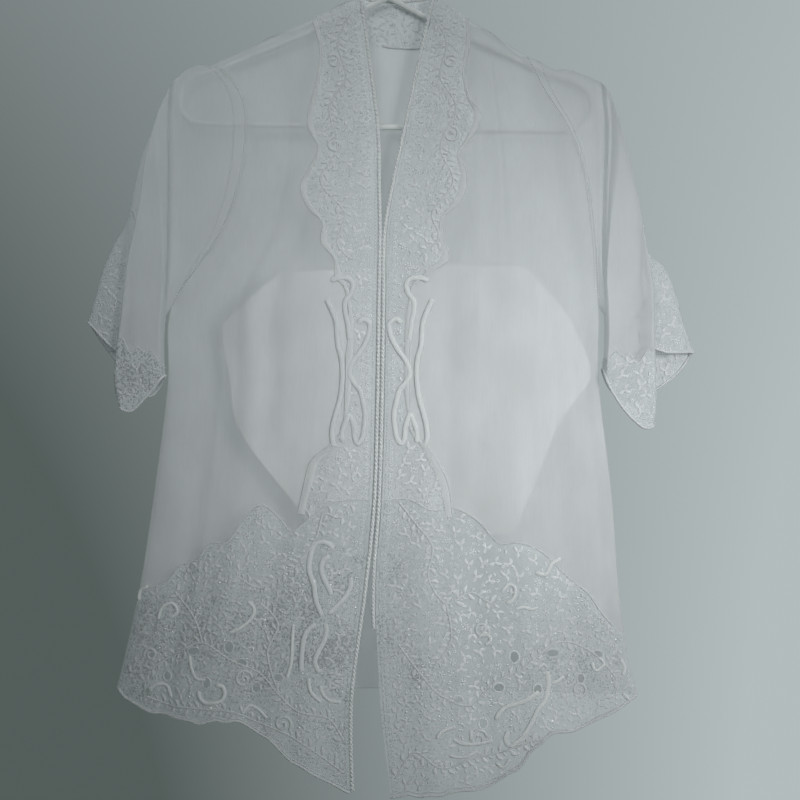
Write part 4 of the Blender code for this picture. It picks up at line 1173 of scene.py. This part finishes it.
def build_front(side):
    """One front with its borders, needlework, cords, braid and sewing."""
    sign = SIGN[side]
    cloth = front_cloth(side)
    tree = cloth.tree()
    holes = []
    for hole in CUTWORK:
        x, _, z = front_point(side, hole.share, hole.level)
        holes.append((x, z, hole.width, hole.height))
    panel = cloth_piece(f"cloth_front_{side}", cloth, VOILE, holes)
    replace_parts(panel, f"front_{side}")

    neck_line, hem_line = outline_at(NECK_OUTLINE[side], False), outline_at(HEM_OUTLINE[side], True)
    reach, start = column_reach(cloth, neck_line, sign), row_start(cloth, hem_line)
    rows_at = np.arange(PANEL_ROWS)
    last_neck = start[int(share_column(0.2))] + 2.0
    rows = np.linspace(level_row(0.05), last_neck, 150)[:, None]
    limit = np.interp(rows[:, 0], rows_at, reach)[:, None]
    columns = limit * np.linspace(0.0, 1.0, 40)[None, :]
    neck = strip(cloth, rows, columns, GROUND_LIFT, -sign)
    neck_piece = cloth_piece(f"ground_neck_{side}", neck, NECK_GROUND)
    tone_ground(neck_piece, side)
    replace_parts(neck_piece, f"neck_border_{side}")
    across = np.linspace(0.0, share_column(1.0) - 0.5, 130)
    begin = np.interp(across, np.arange(FRONT_COLUMNS), start)
    down = begin[None, :] + (PANEL_ROWS - 1.0 - begin[None, :]) * np.linspace(0.0, 1.0, 90)[:, None]
    hem = strip(cloth, down, np.broadcast_to(across[None, :], down.shape), GROUND_LIFT, -sign)
    hem_piece = cloth_piece(f"ground_hem_{side}", hem, GROUND, holes)
    tone_ground(hem_piece, side)
    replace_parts(hem_piece, f"hem_border_{side}")

    front_x = outline_at([tuple(p) for p in cloth.points[::6, 0][:, [0, 2]] / MM], False)
    foot_z = outline_at([tuple(p) for p in cloth.points[-1, ::3][:, [0, 2]] / MM], True)
    side_x = outline_at([tuple(p) for p in cloth.points[level_place(6.0):, -1][::6][:, [0, 2]] / MM], False)
    top_z = cloth.points[3, 0, 2] / MM

    def in_neck(x, z, margin):
        if z > top_z - 6.0 or z < hem_line(x) + margin:
            return False
        return sign * front_x(z) + margin + 2.0 < sign * x < sign * neck_line(z) - margin - 2.0

    def in_hem(x, z, margin):
        if z > hem_line(x) - margin - 2.0 or z < foot_z(x) + margin + 3.5:
            return False
        return sign * front_x(z) + margin + 2.0 < sign * x < sign * side_x(z) - margin - 1.0

    draw = random.Random(f"bordir {side}")
    satin, knots, cords = Needle(tree), Needle(tree), Needle(tree)
    for x, z, width, height in holes:
        satin.ring(x, z, width, height, 1.7, 0.9, 24)
        satin.free(x, z, max(width, height) + 1.9)
    for points, width in ribbons_of(side):
        for x, z in through_points(points, 3.0):
            satin.taken.setdefault((int(x // 8.0), int(z // 8.0)), []).append((x, z, width + 0.4))
    for curl in CURLS[side]:
        room = curl.size + 1.5
        if in_neck(curl.x, curl.z, room) or in_hem(curl.x, curl.z, room):
            cords.curl(curl, CURL_CORD)
            satin.free(curl.x, curl.z, curl.size + 1.0)
    for points in VINES[side]:
        satin.vine(points, cords, lambda x, z, room: in_neck(x, z, room) or in_hem(x, z, room), 8.5)
    z = top_z - 10.0
    while z > -840.0:
        x = front_x(z) + sign * 7.5
        if satin.free(x, z, 1.9):
            satin.ring(x, z, 0.9, 0.9, 0.9, 0.7, 9)
        z -= 5.5
    neck_box = (min(sign * 10, sign * 95), max(sign * 10, sign * 95), -600.0, -90.0)
    hem_box = (min(0, sign * 262) - 30.0, max(0, sign * 262) + 30.0, -860.0, -575.0)
    fill(satin, knots, in_neck, neck_box, draw, side)
    fill(satin, knots, in_hem, hem_box, draw, side)

    edge_rows = np.linspace(level_row(0.3), last_neck, 260)
    edge_columns = np.interp(edge_rows, rows_at, reach)
    neck_edge = edge_path(cloth, edge_rows, edge_columns, STITCH_LIFT)
    cords.add(*tube_rings(neck_edge, FINE_CORD))
    per_mm = FRONT_COLUMNS / 215.0
    widths = lobe_widths(edge_columns / per_mm, 14, 3.0, 8.0, 0.7)
    scallop(cords, cloth, edge_rows, edge_columns, (0.0, -per_mm), np.minimum(widths, edge_columns / per_mm))
    hem_edge = edge_path(cloth, begin[:-4], across[:-4], STITCH_LIFT)
    cords.add(*tube_rings(hem_edge, FINE_CORD))
    foot_columns = np.linspace(0.0, FRONT_COLUMNS - 1.0, 200)
    cords.add(*tube_rings(edge_path(cloth, np.full(200, PANEL_ROWS - 1.0), foot_columns, 0.0), 1.25))
    cords.add(*tube_rings(edge_path(cloth, np.full(200, PANEL_ROWS - 2.4), foot_columns, STITCH_LIFT), FINE_CORD, 6))
    pieces = [
        neck_piece, hem_piece,
        satin.piece(f"bordir_satin_{side}", SATIN, "embroidery"),
        knots.piece(f"bordir_knots_{side}", KNOT, "embroidery"),
        cords.piece(f"bordir_cords_{side}", CORD, "braid"),
    ]
    for piece in pieces[2:4]:
        tone_ground(piece, side)
    pieces += build_ribbons(side, tree)
    pieces.append(build_sewing(side, cloth))
    pieces.append(build_sequins(side, tree, in_hem, draw))
    declare(262, 790)
    build_lining(side, cloth)
    build_braid(side)
    return cloth


def scallop(bundle, cloth, rows, columns, toward, widths):
    """A satin band inside an outline: toward is the step in rows and columns that makes one mm inwards."""
    across = np.linspace(0.0, 1.0, 9)[None, :] * widths[:, None]
    crown = np.sin(np.pi * np.linspace(0.0, 1.0, 9)) ** 0.6
    places = cloth.at(rows[:, None] + across * toward[0], columns[:, None] + across * toward[1],
                      (STITCH_LIFT + SATIN_RISE * crown)[None, :, None] + 0.0 * across[..., None])
    run = np.concatenate([[0.0], np.cumsum(np.linalg.norm(np.diff(places[:, 0], axis=0), axis=1))]) / MM
    count = len(rows)
    numbers = np.arange(count * 9).reshape(count, 9)
    faces = np.stack([numbers[:-1, :-1], numbers[:-1, 1:], numbers[1:, 1:], numbers[1:, :-1]], axis=-1)
    uvs = np.stack([run[:, None] + 0.25 * across, across], axis=-1)
    bundle.add(places.reshape(-1, 3), faces.reshape(-1, 4), uvs.reshape(-1, 2))


def lobe_widths(line, window, low, high, gain):
    """The band's width in mm: broad where the outline stands out in a lobe, narrow where it turns in."""
    padded = np.concatenate([np.full(window, line[0]), line, np.full(window, line[-1])])
    mean = np.convolve(padded, np.ones(2 * window + 1) / (2 * window + 1), "valid")
    return np.clip((low + high) / 2.0 + gain * (line - mean), low, high)


def level_place(level):
    return int(round(level_row(level)))


def scrolls_of(side):
    """The frame's raised ribbons on one front, by node name."""
    named = {}
    for name, points in FRONT_SCROLLS.items():
        if side == "right":
            points = [(SCROLL_MIRROR - x, z) for x, z in points]
        named[f"scroll_{side}_{name}"] = points
    named.update({f"scroll_{name}": points for name, points in HEM_SCROLLS.items() if name.startswith(side)})
    return named


def ribbons_of(side):
    large = [(points, SCROLL_HALF_WIDTH) for points in scrolls_of(side).values()]
    return large + [(ribbon.points, ribbon.width) for ribbon in EXTRA_RIBBONS[side]]


def build_ribbons(side, tree):
    """The raised ribbon scrolls: one piece for each of the frame's, and one for the smaller ones."""
    flatten = SCROLL_HALF_HEIGHT / SCROLL_HALF_WIDTH
    made = []
    for name, points in scrolls_of(side).items():
        needle = Needle(tree)
        needle.cord(points, SCROLL_HALF_WIDTH, 12, 0.35, flatten)
        # The right front's scrolls take the copy painted darker as shade.
        piece = needle.piece(f"ribbon_{name}", RIBBON if side == "left" else SHADED_MATT_RIBBON, "braid")
        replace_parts(piece, name)
        made.append(piece)
    needle = Needle(tree)
    for ribbon in EXTRA_RIBBONS[side]:
        needle.cord(ribbon.points, ribbon.width, 10, 0.3, 0.5)
    made.append(needle.piece(f"ribbon_small_{side}", RIBBON, "braid"))
    return made


def build_sewing(side, cloth):
    """Running stitches beside the opening, the armhole and along the hem."""
    bundle = Bundle()
    rows = np.linspace(level_row(0.4), PANEL_ROWS - 2.0, 400)
    stitches(bundle, edge_path(cloth, rows, np.full(400, 1.4), 0.6))
    rows = np.linspace(level_row(0.2), level_row(5.8), 160)
    stitches(bundle, edge_path(cloth, rows, np.full(160, FRONT_COLUMNS - 2.2), 0.25), 2.8, 1.8, 0.22)
    return bundle.piece(f"sewing_front_{side}", SEWING, "voile")


def build_sequins(side, tree, inside, draw):
    """Sequins in short columns and loose scatters over the hem border."""
    needle = Needle(tree)
    placed = 0
    while placed < 90:
        x, z = SIGN[side] * draw.uniform(15, 245), draw.uniform(-800, -600)
        if not inside(x, z, 1.5):
            placed += 0.02
            continue
        for k in range(draw.choice((1, 1, 3, 5))):
            if inside(x, z - 6.0 * k, 1.5):
                needle.dot(x, z - 6.0 * k, 1.1, 0.9)
        placed += 1
    return needle.piece(f"sequins_{side}", SEQUIN, "embroidery")


def build_braid(side):
    """The twisted braid along one front edge."""
    last = HEM_LEVEL - 0.02 if side == "right" else 9.35
    path = []
    for i in range(300):
        level = 0.12 + (last - 0.12) * i / 299
        point = front_point(side, 0.0, level)
        path.append((through(LEVELS[side], level)[0] * MM, point.y * MM, point.z * MM))
    bundle = Bundle()
    rope(bundle, path, BRAID_RADIUS, STRAND_RADIUS, BRAID_PITCH)
    piece = bundle.piece(f"rope_front_{side}", BRAID, "braid")
    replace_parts(piece, f"braid_{side}")


def build_back():
    """The back, its neck facing, braid, hem and sewing."""
    rows = [
        [back_point(j / (BACK_COLUMNS - 1), HEM_LEVEL * i / (PANEL_ROWS - 1)) for j in range(BACK_COLUMNS)]
        for i in range(PANEL_ROWS)
    ]
    cloth = Cloth(rows, 1)
    back = cloth_piece("cloth_back", cloth, LIT_BACK_VOILE)
    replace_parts(back, "back")
    last = BACK_COLUMNS - 1
    rows = np.linspace(level_row(0.1), level_row(FACING_LEVEL), 50)[:, None]
    columns = np.linspace(NECK_FROM + 0.012, NECK_TO - 0.012, 60)[None, :] * last
    facing = strip(cloth, rows, columns, INNER_DROP, 1)
    facing_piece = cloth_piece("cloth_neck_facing", facing, NECK_GROUND)
    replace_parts(facing_piece, "neck_facing_back")
    bundle = Bundle()
    tree = cloth.tree()
    inner = Needle(tree)
    draw = random.Random("neck facing")
    box = [(f(facing.points[..., k]) / MM) for k in (0, 2) for f in (np.min, np.max)]
    needle = Needle(tree)

    def in_facing(x, z, margin):
        return box[0] + margin + 2 < x < box[1] - margin - 2 and box[2] + margin < z < box[3] - margin - 3

    fill(needle, inner, in_facing, box, draw)
    needle.add(*tube_rings(facing.points[-1], 1.1))
    hem = np.array([cloth.at(PANEL_ROWS - 1.0, c, 0.0) for c in np.linspace(0, last, 200)])
    bundle.add(*tube_rings(hem, 0.8))
    sewn = Bundle()
    stitches(sewn, cloth.at(np.full(300, PANEL_ROWS - 4.0), np.linspace(1, last - 1, 300), 0.4))
    for column in (2.2, last - 2.2):
        stitches(sewn, cloth.at(np.linspace(level_row(0.2), level_row(5.8), 160), np.full(160, column), 0.3), 2.8, 1.8, 0.22)
    pieces = [facing_piece, bundle.piece("back_edges", SEAM, "voile"), sewn.piece("sewing_back", SEWING, "voile")]
    pieces.append(needle.piece("facing_satin", SATIN, "embroidery"))
    pieces.append(inner.piece("facing_knots", KNOT, "embroidery"))
    declare(470, 700)
    path = [back_point(NECK_FROM + 0.013 + (NECK_TO - NECK_FROM - 0.026) * i / 60, 0.0) for i in range(61)]
    path = [((p.x) * MM, p.y * MM, (p.z + BRAID_RADIUS + BRAID_CLEAR) * MM) for p in path]
    braid = Bundle()
    rope(braid, path, BRAID_RADIUS, STRAND_RADIUS, BRAID_PITCH)
    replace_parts(braid.piece("rope_neck", BRAID, "braid"), "braid_neck")
    return cloth


def sleeve_cloth(side):
    rings = [sleeve_ring(side, "cap", step) for step in CAP_STEPS]
    arm = list(GROOVE_STEPS) + [0.06 + 0.94 * (i + 1) / ARM_ROWS for i in range(ARM_ROWS)]
    rings += [sleeve_ring(side, "arm", step) for step in arm]
    return Cloth(rings, -SIGN[side], closed=True), arm


def build_sleeve(side):
    """One sleeve with its embroidered cuff, hem cord and sewing."""
    cloth, arm = sleeve_cloth(side)
    sleeve = cloth_piece(f"cloth_sleeve_{side}", cloth, SLEEVE_VOILE)
    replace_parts(sleeve, f"sleeve_{side}")
    rows_count, columns_count = cloth.points.shape[:2]
    arm_start = len(CAP_STEPS)
    front_last = SLEEVE_COLUMNS - 1
    tuck_last = front_last + TUCK_STEPS

    def arm_row(step):
        return arm_start + np.interp(step, arm, np.arange(len(arm)))

    def cuff(name, first, last, starts, replaced):
        columns = np.linspace(first, last, 90)[None, :]
        begin = arm_row(np.interp(columns, np.linspace(first, last, len(starts)), starts))
        begin = begin + 1.6 * np.abs(np.sin(columns * 0.24))
        rows = begin + (rows_count - 1 - begin) * np.linspace(0.0, 1.0, 50)[:, None]
        sheet = strip(cloth, rows, np.broadcast_to(columns, rows.shape), GROUND_LIFT, -SIGN[side])
        piece = cloth_piece(name, sheet, GROUND)
        tone_ground(piece, side)
        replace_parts(piece, replaced)
        bundle = Bundle()
        bundle.add(*tube_rings(sheet.points[0], FINE_CORD, 6, 0.3, 0.6))
        return piece, bundle

    front, front_cords = cuff(f"ground_cuff_front_{side}", 0.5, front_last, (0.80, 0.78, 0.80, 0.76),
                              f"cuff_front_{side}")
    back, back_cords = cuff(f"ground_cuff_back_{side}", front_last + 4.0, columns_count - 1.0,
                            (0.44, 0.46, 0.55, 0.72, 0.80, 0.82, 0.82, 0.82), f"cuff_back_{side}")
    edge = np.concatenate([cloth.points[-1], cloth.points[-1][:1]])
    front_cords.add(*tube_rings(edge, 1.2, 8, 1.0))
    tree = cloth.tree()
    draw = random.Random(f"cuff {side}")
    needles = {}
    low_x, high_x = cloth.points[..., 0].min() / MM, cloth.points[..., 0].max() / MM
    low_z, high_z = cloth.points[..., 2].min() / MM, cloth.points[..., 2].max() / MM
    front_rows = cloth.points[arm_start:, :]
    pieces = [front, back]
    for layer, way in (("front", -1), ("back", 1)):
        satin, knots = Needle(tree, way), Needle(tree, way)
        inside = cuff_region(side, layer)
        fill(satin, knots, inside, (low_x, high_x, low_z, high_z), draw)
        pieces.append(satin.piece(f"cuff_satin_{layer}_{side}", SATIN, "embroidery"))
        pieces.append(knots.piece(f"cuff_knots_{layer}_{side}", KNOT, "embroidery"))
        tone_ground(pieces[-2], side)
        tone_ground(pieces[-1], side)
    pieces.append(front_cords.piece(f"cuff_cords_front_{side}", CORD, "braid"))
    pieces.append(back_cords.piece(f"cuff_cords_back_{side}", CORD, "braid"))
    sewn = Bundle()
    stitches(sewn, cloth.at(np.full(300, 1.6), np.linspace(1, front_last - 1, 300), 0.3), 2.8, 1.8, 0.22)
    stitches(sewn, cloth.at(np.full(300, 1.6), np.linspace(tuck_last + 1, columns_count - 1, 300), 0.3), 2.8, 1.8, 0.22)
    pieces.append(sewn.piece(f"sewing_sleeve_{side}", SEWING, "voile"))
    declare(330, 380)
    return cloth


def cuff_region(side, layer):
    """Where a sleeve is embroidered, seen from one side: the cuff and the flare behind the fold."""
    sleeve, sign = SLEEVES[side], SIGN[side]
    fold = outline_at(sleeve.edge, False)
    hem = outline_at(sleeve.front_hem, True)
    back_hem = outline_at(sleeve.back_hem, True)
    flare = outline_at(sleeve.flare, False)
    under = sleeve.under[-1]

    def inside(x, z, margin):
        if layer == "front" and sign * x < sign * fold(z) - margin - 0.5:
            top = under[1] + 12.0 + 0.10 * (sign * x - sign * under[0])
            return hem(x) + margin + 2.0 < z < top - margin and sign * x > sign * under[0] + margin + 1.0
        if layer == "front" and sign * x < sign * fold(z) + margin + 1.0:
            return False
        if sign * x > sign * flare(z) - margin - 1.5 or z < back_hem(x) + margin + 2.0:
            return False
        beyond = clamp((sign * x - sign * under[0]) / 60.0)
        top = under[1] + 14.0 + 190.0 * beyond ** 1.6
        return z < top - margin and sign * x > sign * under[0] + margin + 1.0

    return inside


def build_seams(fronts, back, sleeves):
    """Joined side, shoulder and armhole seams, with the allowances that show through the voile."""
    for side, cloth in fronts.items():
        bundle = Bundle()
        rows = np.linspace(level_row(6.0), PANEL_ROWS - 1.0, 200)
        edge = cloth.at(rows, FRONT_COLUMNS - 1.0)
        edge[:, 1] = 0.0
        bundle.add(*tube_rings(edge, 0.95))
        top = cloth.at(0.0, np.linspace(0, FRONT_COLUMNS - 1.0, 100))
        top[:, 1] = 0.0
        bundle.add(*tube_rings(top, 0.95))
        arm = cloth.at(np.linspace(0, level_row(6.0), 160), FRONT_COLUMNS - 1.0)
        bundle.add(*tube_rings(arm, 0.45))
        column = 0.0 if side == "right" else BACK_COLUMNS - 1.0
        arm = back.at(np.linspace(0, level_row(6.0), 160), column)
        bundle.add(*tube_rings(arm, 0.45))
        bundle.piece(f"seams_{side}", SEAM, "voile")
        rows = np.linspace(level_row(0.15), level_row(6.0), 110)[:, None]
        columns = (FRONT_COLUMNS - 1.0) - np.linspace(0.0, 5.5, 6)[None, :]
        allowance = strip(cloth, rows, columns, INNER_DROP, SIGN[side])
        piece = cloth_piece(f"allowance_armhole_{side}", allowance, SEAM)
        declare(10, 260)
        rows = np.linspace(level_row(6.1), PANEL_ROWS - 6.0, 110)[:, None]
        columns = (FRONT_COLUMNS - 1.0) - np.linspace(0.3, 4.0, 5)[None, :]
        allowance = strip(cloth, rows, columns, INNER_DROP * 0.6, SIGN[side])
        piece = cloth_piece(f"allowance_side_{side}", allowance, SEAM)
        declare(10, 385)


def build_lights():
    """Soft key from the upper right, a weak fill from the left, and the pale room, its wall painted with light and
    shade.
    """
    def area(name, place, aim, size, energy, spread, colour):
        data = bpy.data.lights.new(name, "AREA")
        data.energy, data.size, data.color, data.spread = energy, size, colour, math.radians(spread)
        lamp = bpy.data.objects.new(name, data)
        lamp.location = place
        lamp.rotation_euler = (Vector(aim) - Vector(place)).to_track_quat("-Z", "Y").to_euler()
        bpy.context.scene.collection.objects.link(lamp)

    area("key", (0.7, -0.9, -0.35), (0.22, 0.0, -0.52), 0.5, 0.9, 60, (0.985, 0.99, 1.0))
    area("fill", (-0.42, -0.8, 0.5), (-0.12, 0.0, -0.06), 0.6, 0.55, 64, (0.94, 0.98, 1.0))
    area("front", (0.03, -1.25, -0.45), (0.03, 0.0, -0.47), 0.3, 0.075, 34, (0.96, 0.98, 1.0))
    world = bpy.data.worlds.new("room")
    bpy.context.scene.world = world
    world.use_nodes = True
    nodes, links = world.node_tree.nodes, world.node_tree.links
    back = nodes["Background"]
    # The wall keeps its grey-green but is painted darker to the left and far darker to the lower left: painted shade of
    # the light's falloff and of the blouse's shadow on the wall.
    split = nodes.new("ShaderNodeSeparateXYZ")
    links.new(nodes.new("ShaderNodeTexCoord").outputs["Generated"], split.inputs["Vector"])
    across = combine(nodes, links, "MULTIPLY", split.outputs["X"], 1.74)
    rise = combine(nodes, links, "MULTIPLY", split.outputs["Z"], 0.3)
    twist = combine(nodes, links, "MULTIPLY", split.outputs["X"], split.outputs["Z"])
    twist = combine(nodes, links, "MULTIPLY", twist, -2.5)
    place = combine(nodes, links, "ADD", combine(nodes, links, "ADD", across, rise), twist)
    place = combine(nodes, links, "ADD", place, 0.5)
    behind = ramp(nodes, links, split.outputs["Y"], (0.3, 0.3, 0.3), (1.0, 1.0, 1.0), (0.0, 0.3))
    wall_with_painted_shade = ramp(nodes, links, place, (0.088, 0.112, 0.106), (0.452, 0.504, 0.512), (0.0, 1.0))
    shaded = nodes.new("ShaderNodeVectorMath")
    shaded.operation = "MULTIPLY"
    links.new(wall_with_painted_shade, shaded.inputs[0])
    links.new(behind, shaded.inputs[1])
    links.new(shaded.outputs["Vector"], back.inputs["Color"])
    back.inputs["Strength"].default_value = 1.0


def build_camera():
    data = bpy.data.cameras.new("camera")
    data.sensor_width = SENSOR
    data.lens = SENSOR * VIEW_DISTANCE / VIEW_WIDTH
    camera = bpy.data.objects.new("camera", data)
    camera.location = (VIEW_X * MM, -VIEW_DISTANCE * MM, VIEW_Z * MM)
    camera.rotation_euler = (math.radians(90), 0.0, 0.0)
    bpy.context.scene.collection.objects.link(camera)
    bpy.context.scene.camera = camera


def build_floor():
    """A pale floor well below the blouse."""
    size = 1.0
    corners = [(-size, -size, FLOOR_Z), (size, -size, FLOOR_Z), (size, size, FLOOR_Z), (-size, size, FLOOR_Z)]
    mesh = bpy.data.meshes.new("floor")
    mesh.from_pydata(corners, [], [(0, 1, 2, 3)])
    material, nodes, links, shader = new_material("floor", (0.62, 0.64, 0.63), 0.9)
    place = nodes.new("ShaderNodeTexCoord").outputs["Object"]
    tone = noise(nodes, links, place, 3.0)
    links.new(ramp(nodes, links, tone, (0.60, 0.62, 0.61), (0.64, 0.66, 0.65)), shader.inputs["Base Color"])
    mesh.materials.append(material)
    floor = bpy.data.objects.new("floor", mesh)
    bpy.context.scene.collection.objects.link(floor)


for hanger_node in ("hanger", "hanger_hook"):
    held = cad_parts[hanger_node]
    held.data.materials.clear()
    held.data.materials.append(PLASTIC)
build_camera()
build_floor()
build_lights()
FRONTS = {wearer_side: build_front(wearer_side) for wearer_side in ("right", "left")}
BACK = build_back()
SLEEVE_CLOTHS = {wearer_side: build_sleeve(wearer_side) for wearer_side in ("right", "left")}
build_seams(FRONTS, BACK, SLEEVE_CLOTHS)
bpy.context.scene.view_settings.view_transform = "Standard"
